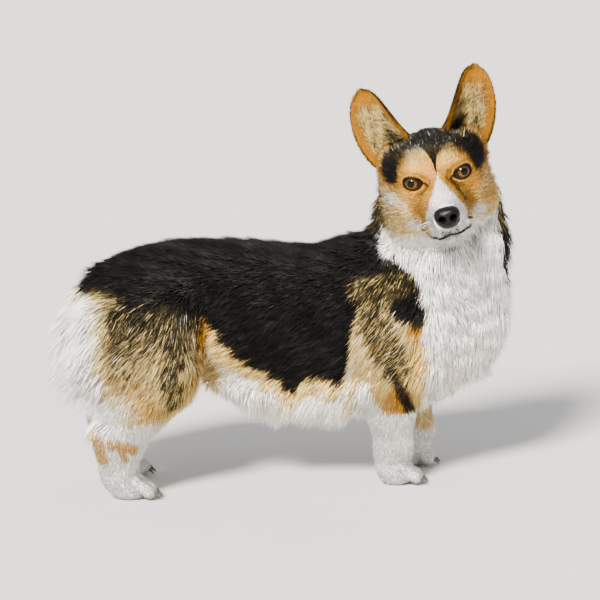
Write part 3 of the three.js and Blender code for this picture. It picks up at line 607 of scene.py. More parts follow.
def body_marks(at):
    x, y, z = at.x, at.y, at.z
    ragged = 5 * waves(at.p, 9, 1)
    below = saddle_edge(x) + ragged - z
    soft = saddle_soft(x)
    half = band_half(z)
    band = smooth(half + 12, half - 9, np.abs(x - band_middle(z)) + 0.7 * ragged)
    black = most(
        smooth(soft, -soft, below),
        0.72 * band * smooth(92, 106, z) * smooth(228, 196, z) * at.thigh,
        thigh_black(z + 2 * ragged) * at.thigh * smooth(-246, -226, x),
        0.9 * near_line(at, (84, 138), (110, 87), 11) * at.arm,
        0.61 * near_line(at, (56, 206), (90, 140), 28),
    )
    black = mix(black, 0.72, 0.8 * near_line(at, (52, 226), (104, 236), 22))
    black = most(black, near_line(at, (92, 206), (118, 196), 18))

    flank = smooth(-140, -126, x) * smooth(-88, -104, x)
    tan = layered(
        0.1,
        (0.17, at.thigh),
        (0.5, near_line(at, (-206, 120), (-186, 92), 26) * at.thigh),
        (0.3, smooth(-8, 4, below) * smooth(26, 8, below) * smooth(-140, -112, x) * smooth(40, 10, x)),
        (0.4, flank * smooth(170, 140, z)),
        (0.9, near_line(at, (-124, 198), (-128, 160), 11)),
        (0.55, near_line(at, (-128, 160), (-142, 128), 12)),
        (0.24, at.arm),
        (0.42, near_line(at, (112, 166), (117, 116), 11)),
        (0.85, near_line(at, (104, 181), (112, 176), 7.5)),
        (0.35, near_line(at, (96, 230), (106, 219), 10)),
    )
    white = (1 - flank * 0.8) * most(
        smooth(8, 26, below) * (1 - at.thigh) * (1 - at.arm) * 0.8,
        0.14 * most(at.arm, at.thigh) * smooth(110, 150, z) * smooth(106, 96, x),
        0.7 * smooth(136, 96, z) * at.thigh * smooth(-188, -230, x),
    )

    rear = rear_edge(z) + 0.8 * ragged
    white = most(white, smooth(rear + 7, rear - 3, x) * smooth(220, 208, z))
    black = black * (1 - 0.9 * smooth(rear + 16, rear + 4, x) * smooth(214, 204, z))
    tan = mix(tan, 0.1, smooth(rear + 22, rear + 6, x) * smooth(236, 224, z))

    # The orange cuff over the white of the foreleg, and the patches at the hock
    behind_cuff = smooth(-3, 3, 57 + 0.57 * (122 - z) - x) * smooth(126, 118, z) * (x > 30)
    cuff = smooth(122, 112, z) * (x > 0) * at.arm * (1 - behind_cuff)
    cuff_tan = mix(0.34, 0.85, smooth(66, 92, x)) * mix(1, 0.5, smooth(100, 110, x))
    patches = 0.9 * most(
        near_line(at, (-243, 70), (-237, 47), 9),
        near_line(at, (-229, 67), (-204, 60), 10),
        near_line(at, (-219, 62), (-214, 50), 7),
    )
    left_cuff = (y > 0) * (x > 60) * smooth(130, 110, z) * at.legs
    tan = layered(tan, (cuff_tan, cuff), (0.35, left_cuff), (0.6, patches))
    fore_low = smooth(87, 83, z + mix(0.25 * ragged, 40, y > 0))
    fore_white = most(fore_low, behind_cuff * smooth(40, 56, x)) * (x > 0)
    hind_white = smooth(96, 74, z + ragged + 13 * smooth(-218, -192, x)) * (x < 0)
    black = black * (1 - fore_white) * (1 - hind_white)
    white = most(white, fore_white, hind_white) * (1 - patches)

    # The bib, wider on the right than on the left, and the grizzled hair of the nape
    right = smooth(-4, 5, x - bib_right(z) + 0.7 * ragged) * smooth(20, 0, y + 76 * smooth(280, 322, z))
    past_left = y - bib_left(z)
    left = smooth(4, -5, past_left + 0.5 * ragged) * smooth(112, 128, x)
    left_side = smooth(150, 170, x) * smooth(0.3, 0.7, smooth(-5, 4, past_left))
    bib = most(right, left) * (1 - left_side) * (1 - at.legs)
    nape = smooth(278, 300, z) * (1 - bib)
    black = mix(black, mix(0.62, 0.86, smooth(-50, -30, y)), nape) * (1 - smooth(0.3, 0.7, bib))
    # Low on the chest the bib turns cream with some tan instead of white: partly its own cream hair, partly
    # painted shade under the chest.
    low = smooth(158, 138, z)
    tan = layered(tan, (0.3, nape), (0.34, bib * low))
    inner = smooth(34, 20, np.abs(y)) * smooth(150, 120, z) * (x > 40)
    left_leg = (y > 4) * (x > 90) * smooth(40, 52, z + ragged) * smooth(128, 110, z)
    white = most(white, bib * mix(1, 0.25, low), 0.4 * inner) * (1 - 0.8 * left_leg * at.legs)
    return weights(black, tan, white)


# Across the forehead from right to left: the lower edge of the black cap, with the line down its middle
cap_edge = curve(
    (-66, 12), (-58.6, 5), (-51.6, 0.5), (-46, 1.5), (-44, 4), (-41.5, 14), (-35, 24), (-27.4, 30.7),
    (-21, 33.7), (-12.5, 34), (-5.4, 29), (-3, 22), (-1.6, 16), (-0.8, 9), (0, 2), (0.9, 11), (3.1, 20.6),
    (8.5, 27), (16.7, 30), (23.8, 29.4), (29.6, 24), (35.5, 18.4), (39.7, 11), (42.3, 3), (44, -1.6),
    (50, -2.6), (56.3, 0.5), (62, 7), (68, 14),
)
blaze_half = curve(
    (-54, 20.5), (-44, 22), (-38, 22.5), (-31, 21), (-25, 17.5), (-18, 13.8), (-12, 9.7), (-8, 7.4),
    (-3, 4), (0, 2), (4, 0.2),
)
cheek_edge = curve((-60, 28), (-42, 33), (-27, 36), (-17, 42), (-10, 49), (2, 58))


def head_marks(at):
    h, hx, wide, hz = at.h, at.hx, np.abs(at.hy), at.hz
    half_face = folded(h)
    # The left side of the face is in shade under the key light: its cheeks and lower face get more tan and
    # less white than the right side's. This difference is painted shade and light, over the face's own tan
    # and cream.
    left_face_in_shade = smooth(0, 12, at.hy)
    ragged = 1.2 * waves(at.p, 4, 3)
    edge = cap_edge(at.hy) + ragged * smooth(0, 8, wide)
    side_front = smooth(-50, -45, hx + 0.12 * (hz - 10))
    soft = mix(1.2, 8.5, smooth(3, 14, wide)) * mix(1, 0.4, smooth(8, 2, hz))
    black = smooth(-soft, soft, hz - edge) * most(side_front, smooth(47, 40, wide))
    # Pale white and cream hairs mixed among the black of the crown, here and in the tan and white below:
    # painted sheen.
    crown_sheen = smooth(22, 36, hz) * smooth(-60, -44, hx)
    black = mix(black, np.minimum(black, 0.9), crown_sheen)
    stripe = near_flat(h, [(15, -6), (17, -9.5), (19.3, -14), (22, -20), (25, -27)], 2.6) * (hx > -2)
    black = most(
        black,
        smooth(2, 22, hz) * smooth(-70, -80, hx),
        0.62 * stripe,
        # The dark left corner of the mouth: its dark lip skin, widened with painted shadow under the
        # whisker bed.
        0.7 * near_path(h, [(26, 20, -46), (14, 25, -50)], 6.5),
    )
    ticked = near_path(half_face, [(-50, 22, 45), (-48, 33, 42)], 13)
    rim = past_almond(in_eye(h))
    corner = near_flat(half_face, [(17.5, -1.6), (14, -4)], 2.6)
    black = most(mix(black, 0.55, ticked), smooth(3.0, 1.2, rim) * (hx > -12), 0.9 * corner * (hx > -16))

    creamy = spot(wide - np.where(at.hy > 0, 15, 23), 10, hz - 24, 8) * (hx > -26)
    edge = cheek_edge(hz)
    cheek = smooth(edge - 4, edge + 8, wide + 2 * ragged) * smooth(8, -8, hz)
    tan = layered(
        0.8,
        (0.14, most(0.6 * creamy, 0.9 * crown_sheen)),
        (mix(0.3, 0.55, left_face_in_shade), cheek * smooth(-70, -44, hx)),
        (mix(0.16, 0.3, left_face_in_shade), smooth(-34, -52, hz)),
        (0.1, ticked),
        (1.0, smooth(8, 2.5, rim) * (hx > -14)),
    )
    white = most(
        smooth(1.6, -1.6, wide - (blaze_half(hz) + 0.5 * ragged)) * smooth(-6, 8, hx),
        mix(0.1, 0, left_face_in_shade) * cheek,
        0.85 * smooth(-54, -64, hz),
        0.5 * crown_sheen * smooth(28, 38, hz),
        0.75 * spot(wide - 37, 9, hz + 47, 8),
        mix(0.5, 0.1, left_face_in_shade) * spot(wide - 56, 10, hz + 15, 10),
    )
    under_nose = smooth(-43, -47, hz) * smooth(13, 8, wide) * smooth(44, 50, hx)
    speckle = smooth(0.1, 0.6, waves(at.p, 1.1, 9)) * smooth(24, 12, wide)
    speckle = speckle * smooth(-38, -46, hz) * smooth(30, 42, hx)
    black = most(black, 0.62 * under_nose, 0.5 * speckle, smooth(1.06, 0.98, past_nose(h, 0.9)))
    return weights(black, tan, white)


def marks(at):
    return mix_rows(body_marks(at), head_marks(at), at.head)


# The line between the lips, from the right corner of the mouth to the left one
LIP_PATH = [
    (-2, -30, -48), (3, -29, -53), (14, -25, -58.5), (28, -19.5, -60), (42, -13, -57.5), (50, -6, -56),
    (51, 1, -55.5), (49, 8, -55), (44, 15, -55), (30, 21, -57), (14, 26, -56), (2, 29, -51),
]
FLOW_FROM = np.array([50.0, 0, -34])  # where the hair of the head starts, behind the nose


def lie(at, normal):
    """The way that the hair lies at each place"""
    x, z, side = at.x, at.z, np.sign(at.y)
    behind = smooth(120, 84, x) * smooth(228, 262, z)
    way = layered(
        rows(-1, 0, -0.1 - 0.45 * np.abs(normal[:, 1])),
        (unit([-0.7, 0, -1]), most(at.thigh, 0.8 * at.arm)),
        (rows(mix(0.12, -0.75, smooth(-45, 5, x)), 0.15 * side, -1), at.belly),
        (unit([-0.18, 0, -1]), at.legs),
        (unit([0.9, 0, -0.6]), at.paws * smooth(-8, 8, x - np.where(x > 0, 90, -214))),
        (unit([-0.5, 0, -1]), smooth(10, 60, x) * smooth(205, 235, z)),
        (mix_rows(rows(0.05 * x / 100, 0.12 * side, -1), unit([-0.4, 0, -0.9]), behind), at.ruff),
        (unit([-0.85, 0, -1]), at.breeches),
    )
    way += mix(0.22, 0.5, at.ruff * smooth(60, 110, x))[:, None] * swirl(at.p, 26, 20)
    from_nose = unit(at.h - FLOW_FROM) + [0, 0, 0.15]
    from_nose[:, 2] -= 0.55 * smooth(-5, -40, at.hz) * smooth(10, -30, at.hx)
    from_nose += 0.12 * swirl(at.p, 9, 30)
    way = mix_rows(way, from_nose @ HEAD, at.head)
    return unit(way - dot(way, normal) * normal * (1 - at.hanging[:, None]))


def coat_size(at):
    """Length, width, height of the tips over the skin and layers of the tufts at each place"""
    cheek = smooth(32, 52, np.abs(at.hy)) * smooth(10, -20, at.hz) * smooth(-10, -40, at.hx)
    nape = smooth(120, 90, at.x) * at.ruff
    rump = smooth(-206, -232, at.x) * smooth(208, 226, at.z)
    length = layered(
        mix(15, 19, most(at.thigh, at.arm)),
        (mix(9, 4, at.paws), at.legs),
        (mix(34, 22, nape), at.ruff),
        (28, at.belly),
        (46, at.breeches),
        (mix(mix(mix(9, 20, cheek), 6.2, at.face), 4.2, at.muzzle), at.head),
    )
    on_head = mix(mix(0.95, 1.1, cheek), 0.66, at.face)
    width = layered(1.35, (mix(0.95, 0.75, at.paws), at.legs), (1.5, at.long), (on_head, at.head))
    lift = coat_depth(at) * 1.05 + most(mix(6, 2, nape) * at.ruff, 12 * at.breeches, 4 * at.belly)
    lift = lift + 3 * cheek * at.head + 6 * rump
    layers = layered(mix(5.2, 3.2, at.legs), (7.0, at.long), (mix(3.8, 3.6, at.face), at.head))
    return length, width, lift, layers


# Meshes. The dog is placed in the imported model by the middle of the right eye.
MM = 1000  # in a metre
low, high = (Vector(corner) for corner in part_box("eye_right"))
OFFSET = np.array((low + high) / 2) - from_head(eye_centre(-1)) / MM


def fill(items, key, values, kind=np.float32):
    items.foreach_set(key, values.astype(kind).ravel())


def mesh_of(name, points, faces, colours=None, uv=None):
    """An object from points in millimetres and lists of faces with the same number of corners in each"""
    mesh = bpy.data.meshes.new(name)
    groups = [np.asarray(f) for f in faces if len(f)]
    corners = np.concatenate([f.ravel() for f in groups])
    sizes = np.concatenate([np.full(len(f), f.shape[1]) for f in groups])
    mesh.vertices.add(len(points))
    mesh.loops.add(len(corners))
    mesh.polygons.add(len(sizes))
    fill(mesh.vertices, "co", points / MM + OFFSET)
    fill(mesh.loops, "vertex_index", corners, np.int32)
    fill(mesh.polygons, "loop_start", np.cumsum(sizes) - sizes, np.int32)
    fill(mesh.polygons, "use_smooth", sizes, bool)
    mesh.update(calc_edges=True)
    if colours is not None:
        pelt = mesh.color_attributes.new(name="Pelt", type="FLOAT_COLOR", domain="POINT")
        fill(pelt.data, "color", rows(*colours.T, 1))
    if uv is not None:
        fill(mesh.uv_layers.new(name="OFBake").data, "uv", uv[corners])
    mesh.validate()
    made = bpy.data.objects.new(name, mesh)
    bpy.context.scene.collection.objects.link(made)
    return made


def dressed(made, material, slot, *nodes):
    made.data.materials.append(material)
    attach(made, "root")
    if nodes:
        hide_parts(*nodes)
    return made


def turned_grid(rings, columns):
    """Faces of a grid of points that closes on itself along its columns"""
    i, j = grid(rings - 1, columns).T
    a, b = i * columns + j, i * columns + (j + 1) % columns
    return rows(a, b, b + columns, a + columns)


# Materials
class Nodes:
    """Builds a node material on one Principled shader."""

    def __init__(self, name, **sockets):
        self.material = bpy.data.materials.new(name)
        self.material.use_nodes = True
        self.tree = self.material.node_tree
        self.shader = self.tree.nodes["Principled BSDF"]
        for socket, value in sockets.items():
            self.shader.inputs[socket.replace("_", " ")].default_value = value

    def add(self, kind, links=(), **settings):
        node = self.tree.nodes.new("ShaderNode" + kind)
        for key, value in settings.items():
            if hasattr(node, key):
                setattr(node, key, value)
            else:
                node.inputs[key.replace("_", " ")].default_value = value
        for socket, source in dict(links).items():
            self.tree.links.new(source, node.inputs[socket])
        return node

    def texture(self, kind, **settings):
        return self.add("Tex" + kind, {"Vector": self.add("TexCoord").outputs["Object"]}, **settings)

    def into(self, socket, source):
        self.tree.links.new(source, self.shader.inputs[socket])

    def relief(self, source, strength, distance):
        bump = self.add("Bump", {"Height": source}, Strength=strength, Distance=distance)
        self.into("Normal", bump.outputs["Normal"])

    def two_tones(self, source, one, other):
        """The base colour goes from one tone to the other with the source"""
        tone = self.add("Mix", {"Factor": source}, data_type="RGBA")
        tone.inputs["A"].default_value = (*one, 1)
        tone.inputs["B"].default_value = (*other, 1)
        self.into("Base Color", tone.outputs["Result"])


def pelt_material(name, scale, low, high, bump, **sockets):
    """The mesh's own colours, made lighter and darker by a fine noise that also roughens the surface"""
    made = Nodes(name, **sockets)
    pelt = made.add("Attribute", attribute_name="Pelt").outputs["Color"]
    noise = made.texture("Noise", Scale=scale, Detail=3.0).outputs["Fac"]
    share = made.add("MapRange", {"Value": noise}, From_Min=0.3, From_Max=0.7, To_Min=low, To_Max=high)
    tinted = made.add("VectorMath", {0: pelt, "Scale": share.outputs["Result"]}, operation="SCALE")
    made.into("Base Color", tinted.outputs["Vector"])
    made.relief(noise, bump, 0.0004)
    return made.material


FUR = pelt_material("fur", 900, 0.86, 1.12, 0.15, Roughness=0.55, Specular_IOR_Level=0.1)
HIDE = pelt_material("hide", 700, 0.75, 1.1, 0.9, Roughness=0.85, Specular_IOR_Level=0.08)
RIM = pelt_material("lid_skin", 1800, 0.8, 1.2, 0.5, Roughness=0.5, Specular_IOR_Level=0.1)
EYE = pelt_material("eye", 3000, 0.95, 1.05, 0.0, Roughness=0.05, Specular_IOR_Level=0.16)


# Skin
SKIN_STEP, HEAD_STEP, SKIN_LOWEST, SKIN_PAINTED_SHADE = 4.0, 1.6, 0.4, 0.85
skin_points, skin_faces = surface_of(
    skin,
    lines(-280, 262, 58, 206, SKIN_STEP, HEAD_STEP),
    lines(-206, 130, -196, -14, SKIN_STEP, HEAD_STEP),
    lines(-4, 410, 270, 404, SKIN_STEP, HEAD_STEP),
)
skin_points = settled(skin, skin_points, 1.2)
skin_points[:, 2] = np.maximum(skin_points[:, 2], SKIN_LOWEST)
outwards = slope(skin, skin_points)[0] * coat_depth(Place(skin_points))[:, None]
# The skin takes the coat's colours at the outer surface of the short coat, made darker: painted shade under
# the tufts.
skin_colours = marks(Place(skin_points + outwards)) @ PELT * SKIN_PAINTED_SHADE
hide = mesh_of("skin", skin_points, [skin_faces], skin_colours)
FLESH = ["head", "muzzle", "lower_jaw", "ear_right", "ear_left", "neck", "torso", "tail"]
LIMBS = ("upperarm", "foreleg", "forepaw", "thigh", "hindleg", "hindpaw")
FLESH += [f"{part}_{side}" for part in LIMBS for side in ("right", "left")]
dressed(hide, HIDE, "coat_black", *FLESH)


def unwrapped(made):
    """Unwraps an object and returns the UV of each corner of its four-sided faces"""
    bpy.ops.object.select_all(action="DESELECT")
    bpy.context.view_layer.objects.active = made
    made.select_set(True)
    made.data.uv_layers.new(name="OFBake")
    bpy.ops.object.mode_set(mode="EDIT")
    bpy.ops.mesh.select_all(action="SELECT")
    bpy.ops.uv.smart_project(angle_limit=math.radians(66), island_margin=0.002)
    bpy.ops.object.mode_set(mode="OBJECT")
    uv = np.empty(2 * len(made.data.loops), np.float32)
    made.data.uv_layers["OFBake"].data.foreach_get("uv", uv)
    return uv.reshape(-1, 4, 2)


skin_uv = unwrapped(hide)

# Coat
ROOT_CELL = 6  # roots are dealt out cell by cell, so that they spread evenly
UV_PATCH = 0.003  # of each tuft on the map of the skin
TUFT_HIGH = 0.6  # height of a tuft's ridge as a share of half its width
TUFT_SIDES = ((0, 1), (1, 2), (2, 0))
RING_WIDTHS = {1: [1.0], 2: [1.0, 0.72], 6: [1.0, 0.9, 0.8, 0.65, 0.5, 0.3]}  # by the number of rings


def scattered(points, faces, values, density):
    """Roots spread over four-sided faces, so many to a square millimetre: their places and their values"""
    quads = points[faces]
    middle = quads.mean(1)
    area = norm(np.cross(quads[:, 2] - quads[:, 0], quads[:, 3] - quads[:, 1])) / 2
    order = np.lexsort(np.floor(middle / ROOT_CELL).T)
    total = np.cumsum((area * density(middle))[order])
    count = int(total[-1])
    face = order[np.searchsorted(total, np.arange(count) + rng.random(count), "right")]
    s, t = rng.random((2, count, 1))
    corner = np.stack([(1 - s) * (1 - t), s * (1 - t), s * t, (1 - s) * t])
    return [(corner * v[face].transpose(1, 0, 2)).sum(0) for v in (quads, values)]


def tufts(name, paths, normal, width, root_colour, tip_colour, uv, slot):
    """One mesh of closed tapered tufts: a three-sided ring at each place on a path but the last, its tip"""
    rings, count = len(paths) - 1, len(width)
    points, colours, patches = [], [], []
    for i, wide in enumerate(RING_WIDTHS[rings]):
        ahead = unit(paths[i + 1] - paths[max(i - 1, 0)])
        side = unit(np.cross(normal, ahead))
        half = (width * wide / 2)[:, None]
        along = i / rings
        points += [paths[i] + way * half for way in (side, np.cross(ahead, side) * TUFT_HIGH, -side)]
        # Each ring is darker towards the root, down to 0.58 of its colour: painted shade where the hairs
        # shade each other near the skin.
        colours += [mix(root_colour, tip_colour, along) * mix(0.58, 1, along**0.7)] * 3
        patches += [uv + UV_PATCH * np.array([a, along]) for a in (-0.5, 0, 0.5)]
    points.append(paths[-1])
    colours.append(tip_colour)
    patches.append(uv + [0, UV_PATCH])
    last, tip = 3 * rings - 3, 3 * rings
    quads = [[i + a, i + b, i + b + 3, i + a + 3] for i in range(0, last, 3) for a, b in TUFT_SIDES]
    tris = [[last + a, last + b, tip] for a, b in TUFT_SIDES] + [[2, 1, 0]]
    base = (np.arange(count) * (tip + 1))[:, None, None]
    faces = [(np.array(f, int).reshape(-1, n) + base).reshape(-1, n) for f, n in ((quads, 4), (tris, 3))]
    points, colours, patches = (
        np.stack(parts, 1).reshape(-1, parts[0].shape[-1]) for parts in (points, colours, patches)
    )
    return dressed(mesh_of(name, points, faces, colours, np.clip(patches, 0, 1)), FUR, slot)


CELL_HASH = [73856093, 19349663, 83492791]
CHANCE_HASH, CHANCE_STEP, HASH_END = (1103515, 69073, 22695, 134775), 12345, 0xFFFFFF


def clumps(p, size):
    """The middle of the clump of hair that each root belongs to, and a chance value of that clump"""
    cell = np.floor(p / size).astype(np.int64)
    least, middle, chance = np.full(len(p), 1e9), np.empty_like(p), np.empty(len(p))
    for offset in grid(3, 3, 3) - 1:
        here = cell + offset
        mixed = (here * CELL_HASH).sum(1) & HASH_END
        value = [((mixed * factor + CHANCE_STEP) & HASH_END) / HASH_END for factor in CHANCE_HASH]
        at = (here + 0.1 + 0.8 * rows(*value[:3])) * size
        d = norm(p - at)
        nearer = d < least
        least[nearer], middle[nearer], chance[nearer] = d[nearer], at[nearer], value[3][nearer]
    return middle, chance


def picked_from(share, sharp=1.6):
    """One of the four colours for each tuft, by chance"""
    share = share**sharp
    total = np.cumsum(share / share.sum(1, keepdims=True), 1)
    return (rng.random((len(share), 1)) > total[:, :3]).sum(1)


PIECE_TRIANGLES = 190000  # at most, in each piece of the coat; at most, for the export
TIP_LOWEST = 0.6


def grow(name, roots, uv, slot, rings, clump, pull):
    """Tufts over the skin from the roots given, in pieces of a size that the export takes"""
    at = Place(roots)
    normal = slope(skin, roots)[0]
    length, width, lift, _ = coat_size(at)
    count = len(roots)
    length = length * rng.uniform(0.75, 1.2, count)
    lift = lift * rng.uniform(0.72, 1.15, count)
    width = width * rng.uniform(0.8, 1.25, count)
    loose = np.clip(at.belly + 0.85 * at.breeches + 0.25 * at.ruff, 0, 1)[:, None]
    place, here, way = roots, normal, lie(at, normal)
    swerve = rng.normal(0, 0.13, (count, 1))
    middle, chance = clumps(roots, clump)
    lift = lift * (0.68 + 0.64 * chance)
    inwards = middle - roots
    inwards -= dot(inwards, normal) * normal
    paths = [roots - normal * 0.8]
    shares = np.linspace(0, 1, rings + 1)
    heights = 1 - (1 - shares) ** 1.7
    for i in range(1, rings + 1):
        step = (length * (shares[i] - shares[i - 1]))[:, None]
        way = unit(way + np.cross(here, way) * swerve)
        place = place + way * step
        here, d = slope(skin, place)
        here = unit(mix(here, normal, loose))
        place = place - here * (np.clip(d[:, None], -step, step) * (1 - loose))
        way = unit(mix(lie(Place(place), here), unit(way + [0, 0, -0.25]), loose))
        paths.append(place + here * (lift * heights[i])[:, None] + inwards * (pull * shares[i] ** 1.5))
        paths[-1][:, 2] = np.maximum(paths[-1][:, 2], TIP_LOWEST)
    share = marks(Place(mix(paths[0], paths[-1], 0.6)))
    picked = picked_from(share)
    is_black = picked == BLACK
    mean = share @ PELT
    tip = mix_rows(PELT[picked], mean, 0.3 * np.isin(picked, (TAN, CREAM)))
    root = mix(PELT[picked], mean, 0.5)
    # Each tuft's lightness varies at random, by clump and along broad waves. The black hairs vary far more
    # and may come out up to twelve times lighter: this is the coat's own uneven tone plus painted sheen on
    # the black.
    spread = np.where(is_black, 0.8, 0.12 + most(0.16 * at.head, 0.26 * at.legs, 0.1 * at.ruff))
    light = np.exp(spread * rng.normal(size=count))
    light *= 1 + mix(0.06 + 0.06 * at.ruff, 0.4, is_black) * waves(roots, 14, 40)
    light *= mix(0.9 + 0.2 * chance, 0.45 + 1.3 * chance, is_black)
    light = np.clip(light, 0.5, np.where(is_black, 12, 1.35))[:, None]
    triangles = count * (6 * (rings - 1) + 4)
    for n, part in enumerate(np.array_split(np.arange(count), math.ceil(triangles / PIECE_TRIANGLES))):
        tufts(
            f"{name}_{n + 1}", [p[part] for p in paths], normal[part], width[part],
            (root * light)[part], (tip * light)[part], uv[part], slot,
        )


def cover(p):
    """Tufts to each square millimetre"""
    at = Place(p)
    length, width, _, layers = coat_size(at)
    bare = (past_almond(in_eye(at.h)) < 1.1) & (past_ball(at.h) < 3)
    bare |= (past_nose(at.h, 0.6) < 1) | (near_path(at.h, LIP_PATH, 3.9) > 0.6)
    return layers / (length * width * 0.5) * ~bare


roots, root_uv = scattered(skin_points, skin_faces, skin_uv, cover)
at = Place(roots)
long_coat = at.long > 0.35
on_head = at.head > 0.5
# Name, roots, material slot, rings of each tuft, size of the clumps and how far the tips gather in them
GROUPS = [
    ("coat_long", long_coat & ~on_head, "coat_white", 2, 7, 0.5),
    ("coat_head", on_head, "coat_head", 1, 3, 0.35),
    ("coat_body", ~long_coat & ~on_head, "coat_black", 1, 3.6, 0.38),
]
for name, chosen, *how in GROUPS:
    grow(name, roots[chosen], root_uv[chosen], *how)


# Ears: a thin cup wrapped round an axis from its foot to its tip, open to the front
EAR_FOOT, EAR_TIP = np.array([-60.0, 40, 22]), np.array([-66.0, 66, 104])
EAR_LEAN = np.array([0, 4, -1])  # moves the left tip out and down, and the right one the other way
EAR_ROUND = 0.86  # the round tip starts here
EAR_BULGE, EAR_HAIRS, EAR_STEP = 5, 2.0, 0.03
ear_narrowing = curve((0, 27), (0.25, 26.5), (0.5, 23.8), (0.75, 18.4), (0.9, 13.2), (1, 11))
ear_wrap = curve((0, 108), (0.3, 78), (0.6, 60), (1, 40))
ear_turn = curve((0, 34), (0.5, 20), (1, 10))
ear_thick = curve((0, 3.6), (0.4, 2.4), (1, 1.4))


def ear_width(t):
    end = np.clip((t - EAR_ROUND) / (1 - EAR_ROUND), 0, 1)
    return ear_narrowing(t) * np.sqrt(1.004 - end**2)


def ear_place(t, s, layer, side):
    """Points of an ear by height, place across from -1 to 1, and layer: 0 is the front and 1 the back"""
    axis = EAR_TIP + EAR_LEAN * side - EAR_FOOT
    arc, turn = np.radians(ear_wrap(t)), np.radians(ear_turn(t))
    radius = np.maximum(ear_width(t) - 0.8, 0.3) / np.sin(np.minimum(arc, math.pi / 2))
    face = rows(np.cos(turn), np.sin(turn), 0)
    out = unit(np.cross(unit(axis), face))
    out *= np.sign(out[:, 1:2])
    middle = EAR_FOOT + axis * t[:, None] + out * (EAR_BULGE * np.sin(math.pi * t))[:, None]
    r = radius + 0.9 + layer * ear_thick(t)
    place = middle + out * (r * np.sin(arc * s))[:, None]
    place += face * (radius * np.cos(arc) - r * np.cos(arc * s))[:, None]
    return from_head(place * [1, side, 1])


def ear_marks(t, s, layer, p):
    inside = smooth(0.9, 0.4, layer)
    edge = np.abs(s) + 0.09 * waves(p, 7, 50)
    rim = most(smooth(0.52, 0.72, edge), smooth(0.6, 0.78, t + 0.04 * waves(p, 6, 53)))
    # A dark spot low in the ear's cup: painted shade in the hollow of the ear.
    hollow_shade = smooth(0.27, 0.06, np.hypot(t - 0.2, 0.6 * (s + 0.1)))
    black = most(
        mix(0.72, mix(0.4 + 0.2 * waves(p, 5, 52), 0.1, rim), inside),
        0.85 * hollow_shade * inside,
        0.8 * smooth(0.93, 0.99, np.abs(s)) * smooth(0.25, 0.5, t) * (s < 0),
    )
    return weights(black, mix(0.8, mix(0.3, 1.0, rim), inside), 0 * t)


def ear(side, name):
    up, across = 40, 22
    heights = 1 - (1 - np.linspace(0, 1, up + 1)) ** 1.7
    t, s = np.meshgrid(heights, np.linspace(-1, 1, across), indexing="ij")
    t, s, layer = (np.hstack(pair).ravel() for pair in ((t, t), (s, s[:, ::-1]), (0 * t, 0 * t + 1)))
    points = ear_place(t, s, layer, side)
    n = 2 * across
    walls = turned_grid(up + 1, n)
    j = np.arange(across - 1)
    ends = rows(j, j + 1, n - 2 - j, n - 1 - j)
    faces = np.concatenate([walls, ends[:, ::-1], ends + up * n])[:, ::side]
    made = mesh_of(f"ear_{name}_hide", points, [faces], ear_marks(t, s, layer, points) @ PELT * 0.6)
    uv = unwrapped(dressed(made, HIDE, "coat_head"))[: len(walls)]

    walls = faces[: len(walls)]
    values = np.concatenate([uv, rows(t, s, layer)[walls]], axis=2)
    place, value = scattered(points, walls, values, lambda p: EAR_HAIRS)
    uv, (t, s, layer) = value[:, :2], value[:, 2:].T
    s = np.clip(s, -1, 1)
    here = ear_place(t, s, layer, side)
    upward = unit(ear_place(np.minimum(t + EAR_STEP, 1.05), s, layer, side) - here)
    outward = unit(ear_place(t, s + EAR_STEP, layer, side) - here)
    normal = unit(np.cross(upward, outward)) * np.where(layer > 0.5, 1, -1)[:, None] * side
    inside = (layer < 0.5) & (np.abs(s) < 0.62) & (t < 0.8)
    count = len(t)
    way = upward + outward * (0.35 * s)[:, None] + 0.2 * rng.normal(size=(count, 3))
    way = np.where(inside[:, None], upward + 0.45 * rng.normal(size=(count, 3)), way)
    way = unit(way - dot(way, normal) * normal)
    length = np.where(inside, 10, 5.0) * rng.uniform(0.7, 1.25, count) * mix(1, 0.7, smooth(0.8, 1, t))
    lift = np.where(inside, 3.4, 1.4) * rng.uniform(0.6, 1.2, count)
    width = np.where(inside, 0.6, 0.7) * rng.uniform(0.8, 1.2, count)
    paths = [place - normal * 0.4, place + way * length[:, None] + normal * lift[:, None]]
    share = ear_marks(t, s, layer, place)
    colour = PELT[picked_from(share)] * (0.6 + 0.15 * rng.normal(size=(count, 1)).clip(-2, 2))
    root_colour = mix(colour, share @ PELT * 0.55, 0.5)
    tufts(f"coat_ear_{name}", paths, normal, width, root_colour, colour, uv, "coat_head")


# Eyes
IRIS, PUPIL = 7.7, 4.0
IRIS_DARK, IRIS_LIGHT = srgb(40, 24, 9), srgb(108, 73, 27)
EYE_WHITE, EYE_BLACK = srgb(46, 34, 28), srgb(4, 3, 3)
# Rings of the lids, from inside the opening over a rounded rim and out onto the face: how much wider than
# the opening each one is, and how far from the middle of the ball
LID_RINGS = [
    (-0.3, 10.7), (-0.15, 11.4), (0.3, 12.2), (1.0, 12.8), (1.9, 12.8), (2.7, 12.1), (3.4, 11.2),
    (4.2, 10.4),
]


